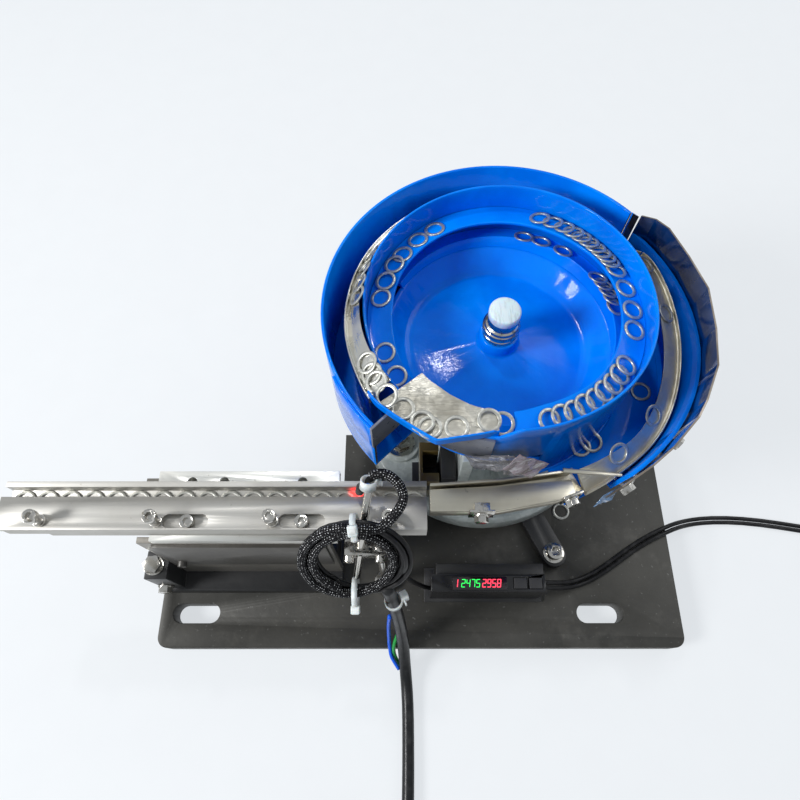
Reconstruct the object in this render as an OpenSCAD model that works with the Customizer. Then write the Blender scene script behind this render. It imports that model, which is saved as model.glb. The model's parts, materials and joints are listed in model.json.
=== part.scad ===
// Vibratory bowl feeder for plain washers, with a linear feed rail.
// Units: mm. Z is up. The origin is on the underside of the base plate, under the bowl's axis.
// The rail runs along -X, the front edge of the base plate looks along -Y.

/* [Base plate] */
// Thickness of the steel base plate
plate_t = 15; // [10:1:20]
// Length of the mounting slots, end to end
slot_len = 31; // [20:1:40]
// Width of the mounting slots
slot_w = 12.5; // [9:0.5:14]

/* [Washers] */
// Outer diameter of the washers being fed
washer_d = 12; // [10:0.5:14]
// Hole of the washers
washer_hole = 8; // [6:0.5:9]
// Thickness of the washers
washer_t = 0.9; // [0.5:0.1:1.2]

/* [Bowl] */
// Outer radius of the round pan wall
pan_r = 97; // [95:0.5:100]
// Height of the rim of the round pan wall above the floor
pan_rim_z = 175; // [170:1:180]
// Radius of the shallow cone of the bowl floor
floor_r = 48; // [46:0.5:49]

/* [Rail] */
// Length of the feed rail
rail_len = 219; // [180:1:240]
// Pitch of the four screws on the rail
screw_pitch = 59.5; // [55:0.5:62]

/* [Hidden] */
$fn = 48;

blue = [0.01, 0.25, 0.85];
steel = [0.62, 0.62, 0.6];
bright = [0.8, 0.8, 0.78];
dark = [0.14, 0.14, 0.14];
black = [0.04, 0.04, 0.045];
cast_grey = [0.6, 0.63, 0.64];

// heights, all above the floor
z_cast = 47;
z_top0 = 103;
groove_z = 129;
cover_z = 131;
feet_a = [-152.6, -32.6, 87.4];
spring_a = [-62, 58, 178];
bar_a = -64;

// ---------- helpers ----------
module at(x, y, z) { translate([x, y, z]) children(); }

module tube(r1, r0, h) {
  difference() {
    cylinder(r = r1, h = h);
    translate([0, 0, -1]) cylinder(r = r0, h = h + 2);
  }
}

// one washer lying flat, centred on the origin
module washer() {
  translate([0, 0, -washer_t / 2]) tube(washer_d / 2, washer_hole / 2, washer_t);
}

// a washer on a turning track: angle, radius, height, fall to the outside, lean along the track
module wash_on(th, r, z, fall, lean) {
  rotate([0, 0, th]) translate([r, 0, z]) rotate([0, fall, 0]) rotate([lean, 0, 0]) washer();
}

// the head of a cap screw with a hexagon socket, seated at z = 0
module cap_head(d) {
  difference() {
    cylinder(d = d * 1.75, h = d);
    translate([0, 0, d * 0.5]) cylinder(d = d * 0.96, h = d, $fn = 6);
  }
}
module cap_screw(d, l) {
  cap_head(d);
  translate([0, 0, -l]) cylinder(d = d, h = l);
}

// the head of a hexagon screw with its flat washer, seated at z = 0
module hex_head(d) {
  cylinder(d = d * 2, h = d * 0.25);
  translate([0, 0, d * 0.25]) cylinder(d = d * 1.85, h = d * 0.7, $fn = 6);
}

// a body swept through closed rings of points
module swept(rings) {
  n = len(rings[0]);
  m = len(rings);
  side = [for (i = [0:m - 2]) for (j = [0:n - 1])
    each [[i * n + j, i * n + (j + 1) % n, (i + 1) * n + j],
          [i * n + (j + 1) % n, (i + 1) * n + (j + 1) % n, (i + 1) * n + j]]];
  polyhedron(points = [for (r = rings) each r],
    faces = concat([[for (j = [n - 1:-1:0]) j]], side, [[for (j = [0:n - 1]) (m - 1) * n + j]]));
}

// one ring of a band that turns about the axis: list of [radius, height] at the angle th
function turn(th, p) = [for (q = p) [q[0] * cos(th), q[0] * sin(th), q[1]]];

// a closed band: the last ring joins the first
module looped(rings) {
  n = len(rings[0]);
  m = len(rings);
  side = [for (i = [0:m - 1]) for (j = [0:n - 1])
    each [[i * n + j, i * n + (j + 1) % n, ((i + 1) % m) * n + j],
          [i * n + (j + 1) % n, ((i + 1) % m) * n + (j + 1) % n, ((i + 1) % m) * n + j]]];
  polyhedron(points = [for (r = rings) each r], faces = side);
}

// a round cable through given points, eight sides
function unit(v) = v / norm(v);
function dir_at(p, i) = unit(p[min(i + 1, len(p) - 1)] - p[max(i - 1, 0)]);
function side_of(d) = abs(d[2]) > 0.9 ? unit(cross(d, [0, 1, 0])) : unit(cross(d, [0, 0, 1]));
function hoop(c, d, r, n) = let (a = side_of(d), b = cross(d, a))
  [for (k = [0:n - 1]) c + r * (cos(360 * k / n) * a + sin(360 * k / n) * b)];
function beside(p, off) = [for (i = [0:len(p) - 1]) p[i] + off * side_of(dir_at(p, i))];
module cable(p, d, n = 8) {
  swept([for (i = [0:len(p) - 1]) hoop(p[i], dir_at(p, i), d / 2, n)]);
}
// a smooth line through the points: s steps between each pair
function spline_pt(a, b, c, d, t) = 0.5 * ((2 * b) + (c - a) * t + (2 * a - 5 * b + 4 * c - d) * t * t
  + (3 * b - a - 3 * c + d) * t * t * t);
function smooth(p, s) = [for (i = [0:len(p) - 2]) for (k = [0:s - 1])
  spline_pt(p[max(i - 1, 0)], p[i], p[i + 1], p[min(i + 2, len(p) - 1)], k / s), p[len(p) - 1]];

// ---------- spirals (heights by angle, degrees; the track climbs clockwise) ----------
// height of the inner edge of the track after u degrees of travel past the angle 215
function led(u) = u < -300 ? 146.7 - (-300 - u) * 0.12 : (u < 0 ? 160 + u * 16 / 360 : 160 + u * 20 / 360);
// rim of the inner bowl, radius by travel
rim_tab = [[0, 73.2], [15, 73.6], [35, 74.3], [65, 76.4], [95, 77.5], [125, 77.5], [155, 76.2],
  [182, 74.6], [215, 74], [245, 74.1], [275, 73.7], [300, 74.8], [312, 76.5]];
in_tab = [[-360, 61], [-300, 64], [-270, 65.5], [-235, 65.5], [-198, 65], [-160, 63.5], [-138, 62.2],
  [-118, 60.8], [-60, 60], [0, 60.2], [35, 59.8], [65, 61.8], [95, 62.6], [125, 61.8], [160, 61],
  [185, 61.8], [225, 60], [260, 59], [290, 58.6], [303, 60.6], [312, 62]];
// outer lip of the washer lane, radius by angle; it swings out past the end of the pan wall
lip_tab = [[-70, 97.5], [-52, 98.9], [-35, 101.7], [-10, 102.6], [5, 103.8], [18, 105.5], [27, 106.4],
  [31.6, 105], [38, 95], [44.5, 94.9], [60, 94.3], [90, 92.5], [117, 89], [130, 86.5], [150, 84.8],
  [170, 84.2], [185, 85], [205, 87], [220, 90]];
in_lane_tab = [[-70, 84.5], [-55, 87.6], [-38, 91.8], [0, 91.8], [31, 94.6], [38, 86.6], [44, 86.2],
  [60, 83.5], [90, 81], [117, 79.6], [150, 78.4], [180, 77], [205, 76.4], [220, 76]];
function lane_z(th) = 177.5 - 0.16 * (220 - th);
lane_up = 5;

function lane_ring(th) =
  let (ro = lookup(th, lip_tab), ri = lookup(th, in_lane_tab), z = lane_z(th), up = lane_up)
  turn(th, [[ri, z + up], [ro - 1.2, z - 1.2], [ro - 0.7, z + 1], [ro + 0.3, z + 1], [ro + 0.3, z - 4.5],
    [ro - 3, z - 4.5], [ri, z + up - 2.2]]);

// ---------- the base ----------
corner_r = 7;
front_slots = [[-191, -136], [76.5, -136]];
back_slots = [[-10, 92], [76.5, 92]];
module base_plate() {
  color(dark) difference() {
    linear_extrude(height = plate_t) difference() {
      union() {
        polygon([[-207.5, -157.4], [122.5, -157.4], [129.5, -150.4], [129.5, 112], [-62, 112],
          [-70, 104], [-70, -9], [-96.5, -9], [-96.5, -62], [-214.5, -62], [-214.5, -150.4]]);
        translate([-207.5, -150.4]) circle(r = corner_r);
        translate([122.5, -150.4]) circle(r = corner_r);
      }
      for (p = concat(front_slots, back_slots))
        translate(p) {
          square([slot_len - slot_w, slot_w], center = true);
          for (s = [-1, 1]) translate([s * (slot_len - slot_w) / 2, 0]) circle(d = slot_w);
        }
    }
    for (s = [0, 180]) rotate([0, 0, bar_a + s]) at(109, 0, 3) cylinder(d = 6, h = 20);
  }
}

module anchor_bar() {
  color(black) difference() {
    union() {
      rotate([0, 0, bar_a]) at(-110, -8, plate_t) cube([220, 16, 7]);
      for (s = [0, 180]) rotate([0, 0, bar_a + s]) at(110, 0, plate_t) cylinder(r = 8, h = 7);
      at(0, 0, plate_t) cylinder(r = 16, h = 12);
    }
    for (s = [0, 180]) rotate([0, 0, bar_a + s]) at(109, 0, 3) cylinder(d = 6, h = 30);
  }
}

module drive_feet() {
  color([0.06, 0.06, 0.06]) for (a = feet_a)
    rotate([0, 0, a]) at(63, 0, plate_t) difference() {
      cylinder(r1 = 12, r2 = 10.5, h = 12);
      at(0, 0, 4) cylinder(d = 8, h = 14);
    }
}

module drive_base() {
  color(cast_grey) difference() {
    union() {
      at(0, 0, 27) rotate_extrude($fn = 96)
        polygon([[0, 0], [80, 0], [83, 3], [83, 17], [80.5, 20], [0, 20]]);
      for (a = feet_a) rotate([0, 0, a]) at(63, 0, z_cast) cylinder(r = 13, h = 3);
      for (a = spring_a) rotate([0, 0, a]) low_clamp();
    }
    for (a = feet_a) rotate([0, 0, a]) at(63, 0, 10) cylinder(d = 8, h = 60);
  }
}

// the leaf springs lean by this much for each mm of height
lean = 0.25;
function leaf_y(z) = -lean * (z - z_cast);
// a block along the radius between two faces that lean with the leaves
module lean_block(y0, y1, z0, z1, back = false) {
  at(46, 0, 0) rotate([90, 0, 90]) linear_extrude(height = 22)
    polygon([[back ? y0 : y0 + leaf_y(z0), z0], [y1 + leaf_y(z0), z0], [y1 + leaf_y(z1), z1],
      [back ? y0 : y0 + leaf_y(z1), z1]]);
}
module low_clamp() { lean_block(-19, -3, z_cast - 1, z_cast + 14, true); }

// a stud with its flat washer and nut, on top of a rubber foot
module foot_stud() {
  at(0, 0, 19) cylinder(d = 8, h = 46);
  at(0, 0, 50) tube(10, 4, 1.6);
  at(0, 0, 51.6) difference() {
    cylinder(d = 15, h = 6.8, $fn = 6);
    at(0, 0, -1) cylinder(d = 8, h = 9);
  }
}

module base_fasteners() {
  color(bright) {
    for (a = feet_a) rotate([0, 0, a]) at(63, 0, 0) foot_stud();
    for (s = [0, 180]) rotate([0, 0, bar_a + s]) at(109, 0, plate_t + 7) {
      tube(7, 3, 1.2);
      at(0, 0, 1.2) cap_screw(6, 19);
    }
    at(-206.5, -113, 60) hex_head(6);
    at(-206.5, -123, 25 + 10) rotate([90, 0, 0]) at(0, 0, -2) hex_head(5);
    for (a = spring_a) rotate([0, 0, a]) {
      for (s = [-1, 1]) at(57 + s * 6, 3 + leaf_y(z_cast + 6.5), z_cast + 6.5)
        rotate([-90 + atan(lean), 0, 0]) hex_head(4);
    }
  }
}

module magnet_core() {
  color([0.1, 0.1, 0.1]) {
    at(-31, -66, z_cast) cube([9, 22, 40]);
    at(-48, -66, z_cast) cube([17, 22, 7]);
  }
}

module magnet_coil() {
  color([0.75, 0.6, 0.15]) at(-44, -68, z_cast + 7) difference() {
    cube([12, 26, 32]);
    at(2, 6, -1) cube([11, 14, 34]);
  }
}

// one pack of leaf springs of the bowl drive, clamped to the casting and free by a hair at its top
spring_free = 0.2;
module leaf_pack() {
  lean_block(-3, 0, z_cast, z_top0 - spring_free);
  lean_block(0, 3, z_cast, z_cast + 13);
}
module bowl_springs() {
  color([0.3, 0.3, 0.28]) for (a = spring_a) rotate([0, 0, a]) leaf_pack();
}

// ---------- linear drive ----------
module lin_base() {
  color(black) {
    at(-214, -123, plate_t) cube([120, 52, 10]);
    at(-200, -105, 25) cube([104, 27, 24]);
    at(-212, -121, 25) cube([14, 17, 35]);
  }
}

module lin_side_plates() {
  color([0.4, 0.38, 0.35]) {
    at(-198, -110.5, 25) cube([104, 3.5, 88]);
    at(-198, -77.5, 25) cube([104, 3.5, 88]);
  }
}

module lin_covers() {
  color([0.2, 0.19, 0.18]) for (s = [0, 1])
    at(0, s ? -72 : -110.5, 0) rotate([90, 0, 0]) linear_extrude(height = 2)
      difference() {
        polygon([[-193, 62], [-96, 62], [-96, 111], [-187, 111], [-191, 109.5], [-193, 105]]);
        translate([-186, 70]) circle(d = 3);
      }
  color(bright) at(-186, -112.5, 70) rotate([90, 0, 0]) cap_head(3);
  color(bright) at(-186, -72, 70) rotate([-90, 0, 0]) cap_head(3);
}

module lin_leaf(x) {
  multmatrix([[1, 0, 0.16, x - 0.16 * 49], [0, 1, 0, 0], [0, 0, 1, 0]])
    at(0, -104, 49) cube([2.4, 25, 54 - spring_free]);
}
module lin_springs() {
  color([0.35, 0.35, 0.33]) {
    lin_leaf(-199);
    lin_leaf(-104);
  }
}

module lin_magnet() {
  color([0.12, 0.12, 0.12]) {
    at(-160, -103, 49) cube([16, 22, 30]);
    at(-178, -103, 49) cube([18, 22, 6]);
  }
  color([0.7, 0.35, 0.15]) at(-176, -104.5, 55) difference() {
    cube([14, 25, 24]);
    at(3, 5, -1) cube([12, 15, 26]);
  }
}

// ---------- amplifier: a flat upright case, its display and buttons on the narrow top ----------
amp_z1 = 50;
button_gap = 0.25;
button_travel = 0.4;
module amp_outline(grow = 0) {
  polygon([[-36.5 - grow, -127], [34.5 + grow, -127], [34.5 + grow, -116.5], [-36.5 - grow, -116.5]]);
}
module amp_body() {
  color([0.05, 0.05, 0.055]) difference() {
    at(0, 0, plate_t + 2) linear_extrude(height = amp_z1 - plate_t - 2) amp_outline();
    at(-23.5, -126, amp_z1 - 0.8) cube([34, 8, 2]);
    for (x = [14.5, 24]) at(x, -125.5, amp_z1 - 2) cube([8.5, 7, 4]);
    at(-50, -128, 40) rotate([0, -30, 0]) cube([14, 14, 20]);
  }
}
module amp_window() {
  color([0.25, 0.02, 0.03]) at(-23.5, -126, amp_z1 - 0.8) cube([34, 8, 0.8]);
}
module button_at(x) {
  color([0.12, 0.12, 0.12]) at(x + button_gap, -125.5 + button_gap, amp_z1 - 2 + button_travel + 0.1)
    cube([8.5 - 2 * button_gap, 7 - 2 * button_gap, 2]);
}
module button_set() { button_at(14.5); }
module button_mode() { button_at(24); }
module amp_bracket() {
  color([0.06, 0.06, 0.06]) {
    at(-40, -129, plate_t) cube([78, 22, 2]);
    at(-33, -116.5, plate_t + 2) cube([68, 7.5, 27]);
  }
}

// ---------- sensor holder ----------
rod_top = [-70.6, -92.6, 160.2];
rod_end = [-78.5, -127.8, 112.6];
post_at = [-66, -116];
module sensor_rods() {
  color(bright) {
    hold_rod(rod_top, rod_end, 4);
    at(post_at[0], post_at[1], plate_t) cylinder(d = 5, h = 115);
    at(post_at[0], post_at[1], plate_t) cylinder(d = 14, h = 6);
  }
}
module hold_rod(a, b, d) {
  v = b - a;
  l = norm(v);
  translate(a) rotate([0, acos(v[2] / l), atan2(v[1], v[0])]) cylinder(d = d, h = l);
}
module rod_clamp() {
  color(steel) at(-84, -120, 121.5) difference() {
    cube([21, 8, 8.5]);
    at(18, 4, -1) cylinder(d = 5, h = 11);
    at(84, 120, -121.5) hold_rod(rod_top, rod_end, 4);
  }
  color(bright) for (x = [-82, -66]) at(x, -120, 125.5) rotate([90, 0, 0]) cap_head(3);
}
module sensor_head() {
  color([0.1, 0.1, 0.1]) {
    hold_rod([-75.4, -89.4, 147], [-76.6, -89.4, 138.6], 4.5);
    hold_rod([-70.5, -89, 158], [-75.4, -89.4, 146], 3.4);
  }
}

// ---------- cables ----------
// the coil of spare sensor lead hangs round the rod, its back side up
coil_c = [-78.8, -122.7, 127.8];
coil_r = 24.5;
coil_t = 5.8;
coil_lean = 60;
sensor_path = smooth([[-70, -88, 159], [-64, -86, 160], [-57, -90, 158], [-53.5, -97, 155],
  [-57, -104, 153], [-63, -109.5, 150], [-66.8, -111.9, 147.5]], 3);
tail_path = smooth([[-57, -127.5, 116], [-55, -126, 104], [-52, -124, 84], [-48.5, -123, 62],
  [-44, -122, 44], [-40.5, -122, 34], [-36.5, -122, 30]], 3);
// two leads side by side leave over the right edge of the plate, to a coil on the ground
lead_path = smooth([[34.5, -121.5, 40], [42, -121, 34], [52, -119.5, 24], [62, -118, 17.8],
  [76, -112, 16.9], [90, -103, 16.9], [106, -92, 16.9], [118, -86, 17.1], [130, -80.5, 17],
  [139, -77, 13], [148, -74, 6.5], [160, -71, 2.2], [180, -70, 1.6], [204, -72, 1.6],
  [228, -76, 1.6], [246, -79.5, 1.6]], 2);
amp_coil_c = [262, -98];
amp_coil_r = 20;
// the supply cable leaves the hanging coil, where it is tied, and crosses the front edge
power_path = smooth([[-63, -132, 108], [-61.5, -134.5, 97], [-59.5, -137.5, 84], [-57.5, -142, 64],
  [-55.5, -148, 43], [-54.3, -153.8, 28.5], [-53.5, -160.5, 19], [-53, -167, 10.5], [-52, -177, 5],
  [-51, -190, 3.8], [-51, -208, 3.8], [-51, -240, 3.8], [-52, -264, 3.8], [-56, -284, 3.8]], 2);
power_coil_c = [-94, -294];
power_coil_r = 38;
power_d = 7.6;
blue_path = smooth([[-62, -143, 66], [-63, -147, 46], [-63, -153, 26], [-62.6, -158, 17],
  [-61.4, -163, 11.6], [-56.8, -170, 8.4]], 3);
green_path = smooth([[-56.2, -147.5, 40], [-58, -151, 30], [-60, -157, 20.5], [-59.6, -161.5, 11],
  [-56, -168, 5], [-53.5, -174, 4.6]], 2);

module cable_ties() {
  color([0.9, 0.9, 0.88]) {
    at(-72.6, -92, 160.2) cube([5, 5, 4]);
    at(-80.4, -115.5, 151.5) cube([6, 5, 4]);
    at(-82, -143.8, 101) cube([6, 4, 6]);
    at(-57.9, -137, 92) cube([6, 4, 5]);
  }
}
module sensor_lead() {
  color(black) {
    cable(sensor_path, 5);
    cable(tail_path, 4);
  }
}
module lead_coil() {
  color(black) translate(coil_c) rotate([coil_lean, 0, 0]) rotate_extrude()
    translate([coil_r, 0]) circle(r = coil_t);
}
module amp_lead() {
  color(black) for (s = [-1, 1]) cable(beside(lead_path, s * 1.75), 3);
}
// a flat round coil lying on the ground
module ground_coil(c, r, w, h) {
  at(c[0], c[1], 0) rotate_extrude() translate([r - w / 2, 0]) square([w, h]);
}
module amp_coil() { color(black) ground_coil(amp_coil_c, amp_coil_r, 14, 9); }
module power_cable() { color([0.07, 0.07, 0.07]) cable(power_path, power_d); }
module power_coil() { color([0.07, 0.07, 0.07]) ground_coil(power_coil_c, power_coil_r, 20, 15); }
// the round plugs at the far ends lie beside the coils
module lead_plug(d, l) {
  rotate([0, 90, 0]) {
    cylinder(d = d, h = l);
    cylinder(d = d * 1.2, h = l * 0.4);
  }
}
module lead_plugs() {
  color([0.1, 0.1, 0.1]) {
    at(250, -131, 6) lead_plug(10, 26);
    at(-140, -349, 9) lead_plug(15, 40);
  }
}
module inner_wires() {
  color([0.05, 0.3, 0.9]) cable(blue_path, 2.4);
  color([0.1, 0.6, 0.15]) cable(green_path, 2.4);
}
module stray_washer() { color(bright) at(57.6, -67.4, plate_t + washer_t / 2) washer(); }

// ---------- the bowl ----------
module top_casting() {
  color(cast_grey) difference() {
    union() {
      at(0, 0, z_top0) cylinder(r = 60, h = 15, $fn = 96);
      for (a = spring_a) rotate([0, 0, a]) at(46, 0, 0) rotate([90, 0, 90])
        linear_extrude(height = 22) polygon([[0.5 + leaf_y(91), 91], [2, 91], [2, z_top0 + 1],
          [0.5 + leaf_y(z_top0 + 1), z_top0 + 1]]);
    }
    at(0, 0, z_top0 - 1) cylinder(d = 12, h = 20);
  }
}

module armature_post() {
  color(cast_grey) {
    at(-20.6, -66, 60) cube([6.6, 22, 43]);
    at(-20.6, -66, 103) cube([6.6, 7.4, 14]);
  }
}

// under the transfer plate the bowl is open from below, between these angles
window_a = 225;
window_sweep = 58;
module bowl_floor() {
  color(blue) difference() {
    rotate_extrude($fn = 120)
      polygon([[0, 118], [20, 118], [20, 131], [50, 129.5], [57, 134], [57, 118], [76.2, 118],
        [76.2, 120.5], [65, 120.5], [65, 143.5], [62.4, 143.5], [54, 134.4], [floor_r + 3.5, 132.8],
        [floor_r, 132.6], [12, 138.5], [11, 140], [11, 148], [0, 148]]);
    rotate([0, 0, window_a]) rotate_extrude(angle = window_sweep, $fn = 120)
      polygon([[66, 117], [78, 117], [78, 121.5], [66, 121.5]]);
  }
}

// inner bowl wall: the rim climbs with the track
rim_end = 306;
low_z = 176;
function rim_z(u) = led(u) + 12;
// the foot of the wall, which is raised over the open stretch under the transfer plate
function foot_z(u) = u > 290 && u < 352 ? 150 : 120.5;
function wall_ring(u) = let (r = lookup(u, rim_tab), z = rim_z(u), f = foot_z(u), ri = wall_in(u, f))
  turn(215 - u, u <= rim_end
    ? [[ri, f], [r - 0.6, z - 3], [r - 0.4, z], [r + 1, z], [r + 1, z - 3], [ri + 1.7, f]]
    : [[ri, f], [74, low_z - 3], [74, low_z], [75.4, low_z], [75.4, low_z - 3], [ri + 1.6, f]]);
module bowl_wall() {
  color(blue) looped([for (u = [0:6:354]) wall_ring(u)]);
}

// inner face of the wall beside the track, radius by travel and height
function wall_in(u, z) = u <= rim_end
  ? 73.3 + (lookup(u, rim_tab) - 0.6 - 73.3) * (z - 120.5) / (rim_z(u) - 3 - 120.5)
  : 73.3 + 0.7 * (z - 120.5) / (low_z - 3 - 120.5);
seam = 0.2;
function track_out(u) = wall_in(u < 0 ? u + 360 : u, led(u) - 6.2) - seam;
track_fall = 4;
function shelf(u) = let (z = led(u), ri = lookup(u, in_tab), ro = track_out(u))
  turn(215 - u, [[ri, z], [ro, z - track_fall], [ro, z - 6.2], [ri + 1, z - 2.6]]);
function skirted(u) = let (z = led(u), ri = lookup(u, in_tab), ro = track_out(u))
  turn(215 - u, [[ri, z], [ro, z - track_fall], [ro, z - 6.2], [ri + 1.6, z - 2.8], [65, 143.5],
    [63, 143.5]]);
module bowl_track() {
  color(blue) {
    swept([for (u = [-294:6:0]) skirted(u)]);
    swept([for (u = [0:6:306]) shelf(u)]);
  }
}

module transfer_plate() {
  color(bright) at(0, 0, 176) linear_extrude(height = 2)
    polygon([[-55.4, -49.2], [-44.9, -41], [-41.1, -45.1], [-36.3, -48.9], [-31.6, -52.7],
      [-26.9, -55.4], [-22.2, -58], [-17.5, -59.6], [-9.5, -61.6], [-9, -73], [-28, -76.4],
      [-37.2, -77.8], [-40.9, -76.8], [-51, -70.4], [-60.4, -63.8], [-67.2, -58.2]]);
}

// the low upright lip along the outer edge of the transfer plate
module transfer_lip() {
  at(0, 0, 176) linear_extrude(height = 5.5)
    polygon([[-9, -73], [-28, -76.4], [-37.2, -77.8], [-40.9, -76.8], [-51, -70.4], [-60.4, -63.8],
      [-67.2, -58.2], [-68.2, -59.2], [-61.2, -65], [-51.8, -71.6], [-41.3, -78.2], [-37.2, -79.2],
      [-28, -77.8], [-9, -74.4]]);
}

module lane_left() { color(bright) swept([for (a = [218:-6:32]) lane_ring(a)]); }
module lane_right() { color([0.66, 0.63, 0.56]) swept([for (a = [31.6:-6:-64.4]) lane_ring(a)]); }

module lane_skirt() {
  color([0.01, 0.18, 0.6]) {
    swept([for (a = [214:-6:-50]) let (ro = lookup(a, lip_tab), z = lane_z(a))
      turn(a, [[ro - 2.9, 120.5], [ro - 2.9, z - 4.5], [ro - 1.7, z - 4.5], [ro - 1.7, 120.5]])]);
    transfer_lip();
  }
}

module pan_floor() {
  color(blue) {
    rotate([0, 0, -70]) rotate_extrude(angle = 294.6, $fn = 120)
      polygon([[76.2, 118], [97, 118], [97, 120.5], [76.2, 120.5]]);
    swept([for (a = cone_a) let (r = 107 + squeeze(a))
      turn(a, [[96, 118.2], [r, 118.2], [r, 120.3], [96, 120.3]])]);
  }
}

// the wall ends at this angle with a short panel that stands out from it
wall_end = 39.6;
module pan_wall() {
  color(blue) {
    rotate([0, 0, wall_end]) rotate_extrude(angle = 224.6 - wall_end, $fn = 120)
      polygon([[pan_r - 1.6, 120.5], [pan_r, 120.5], [pan_r, pan_rim_z], [pan_r - 1.6, pan_rim_z]]);
    rotate([0, 0, 204.6]) rotate_extrude(angle = 20, $fn = 120)
      polygon([[pan_r, 150], [98.4, 150], [98.4, pan_rim_z - 1], [pan_r, pan_rim_z - 1]]);
    rotate([0, 0, wall_end - 0.6]) at(pan_r, 1.2, 120.5) rotate([90, 0, 0]) linear_extrude(height = 1.2)
      polygon([[0, 0], [10, 0], [10, 44.5], [0, pan_rim_z - 120.5]]);
  }
}

// the flaring wall on the right, with the pads that the guard is screwed against; near its
// lower end it draws in towards the axis by this much
function squeeze(a) = lookup(a, [[-62, -5.5], [-52, -5.5], [-44, -4.6], [-33, -2.9], [-16, -0.8], [-5, 0]]);
cone_a = concat([for (a = [-54:4:38]) a], [wall_end - 0.8]);
module pan_cone() {
  color(blue) {
    swept([for (a = cone_a) let (s = squeeze(a))
      turn(a, [[104.8 + s, 120.3], [107 + s, 120.3], [110 + s, 150], [108 + s, 150]])]);
    for (p = [[20, 8], [-33, -44], [-44, -52]])
      on_guard(p[0], p[1], 142) at(-3.25, -4, 0) cube([2.2, 8, 7]);
  }
}

// the guard sheet is bent at these angles, and flares outwards by so many degrees
guard_a = [39, 35, 30, 20, 8, -4, -16, -27, -33, -44, -52, -62];
guard_flare = 4;
function guard_top(a) = a > 32 ? 163 : 166;
function guard_r(a, z) = 110.15 + squeeze(a) + (z - 139) * 1.85 / 27;
module guard() {
  color([0.3, 0.27, 0.25]) swept([for (a = guard_a)
    let (r = guard_r(a, 139), t = guard_top(a), q = guard_r(a, t))
    turn(a, [[r, 139], [q, t], [q + 1, t], [r + 1, 139]])]);
}
// the middle of the outer face of the guard between two of its bends, looking outwards
module on_guard(a, b, z) {
  p = (guard_r(a, z) + 1) * [cos(a), sin(a)];
  q = (guard_r(b, z) + 1) * [cos(b), sin(b)];
  translate([(p[0] + q[0]) / 2, (p[1] + q[1]) / 2, z]) rotate([0, 0, atan2(q[0] - p[0], p[1] - q[1])])
    children();
}

module front_band() {
  color([0.22, 0.22, 0.24]) rotate([0, 0, 224.6]) at(80, 0, 150) cube([18.4, 1.4, 25]);
  color([0.5, 0.5, 0.52]) rotate([0, 0, -127]) rotate_extrude(angle = 29, $fn = 120)
    polygon([[75.42, 150], [77, 150], [77, 174], [75.42, 174]]);
}

module film() {
  color([0.7, 0.7, 0.74, 0.6]) at(0, 0, 138) linear_extrude(height = 11)
    polygon([[-22, -76.8], [-4, -77.4], [10, -76.6], [24.6, -71.4], [24.4, -71], [10, -76.2],
      [-4, -77], [-22, -76.4]]);
}

// exit channel: floor and low walls, in plan
module exit_channel() {
  color([0.66, 0.63, 0.56]) {
    at(0, 0, 125) linear_extrude(height = 4)
      polygon([[-40.2, -84.6], [-3.6, -81.9], [28.3, -77.6], [36, -75.8], [41.5, -86.8],
        [26.9, -92.4], [-4.5, -98.1], [-40.2, -98.6]]);
    at(0, 0, 129) linear_extrude(height = 8)
      polygon([[-40.2, -84.6], [-3.6, -81.9], [28.3, -77.6], [34.6, -76.1], [34.8, -77.3],
        [28.4, -79], [-3.6, -83.3], [-40.2, -86]]);
    at(0, 0, 129) linear_extrude(height = 2.4)
      polygon([[-40.2, -98.6], [-4.5, -98.1], [26.9, -92.4], [38, -88.1], [37.4, -86.8],
        [26.6, -91], [-4.5, -96.7], [-40.2, -97.2]]);
  }
}

module exit_cover() {
  color([0.6, 0.57, 0.5]) {
    at(0, 0, 131.4) linear_extrude(height = 2.6)
      polygon([[-40.2, -86.9], [-3.6, -84.9], [28.1, -82.2], [34.6, -81.6], [36, -88.9],
        [26.9, -92.4], [-4.5, -98.1], [-40.2, -98.6]]);
    at(0, 0, 137) linear_extrude(height = 1.2)
      polygon([[29.5, -76.4], [60, -79.8], [60, -81.1], [29.5, -79]]);
  }
}

module exit_clamps() {
  color(bright) {
    at(-20, -99.6, 125) cube([13, 1.2, 11.4]);
    at(-17.5, -99.6, 134) cube([8, 5, 2.4]);
    at(-13.6, -99.6, 129.5) rotate([90, 0, 0]) hex_head(4);
    at(26.9, -92.4, 125) rotate([0, 0, 21]) {
      at(2, -1.2, 0) cube([11, 1.2, 11.4]);
      at(7.5, -1.2, 4.5) rotate([90, 0, 0]) hex_head(4);
    }
    on_guard(-52, -62, 146) at(0.05, 0, 0) rotate([0, 90 + guard_flare, 0]) hex_head(4);
    on_guard(-33, -44, 152) at(0.05, 0, 0) rotate([0, 90 + guard_flare, 0])
      cylinder(d = 7, h = 3, $fn = 6);
  }
}

cap_z = 164.4;
module centre_nut() {
  color(bright) rotate_extrude()
    polygon([[0, 148], [9.6, 148], [9.6, 150.5], [8.6, 151], [8.6, 152.5], [10.4, 153], [10.4, 156.4],
      [9.4, 157.2], [9.4, 158.6], [8, 159.4], [8, cap_z], [0, cap_z]]);
}
module centre_cap() {
  color([0.92, 0.93, 0.95, 0.9]) rotate_extrude()
    polygon([[0, cap_z], [8.2, cap_z], [8.6, cap_z + 1], [8.6, cap_z + 5.2], [8, cap_z + 6], [0, cap_z + 6]]);
}

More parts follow.
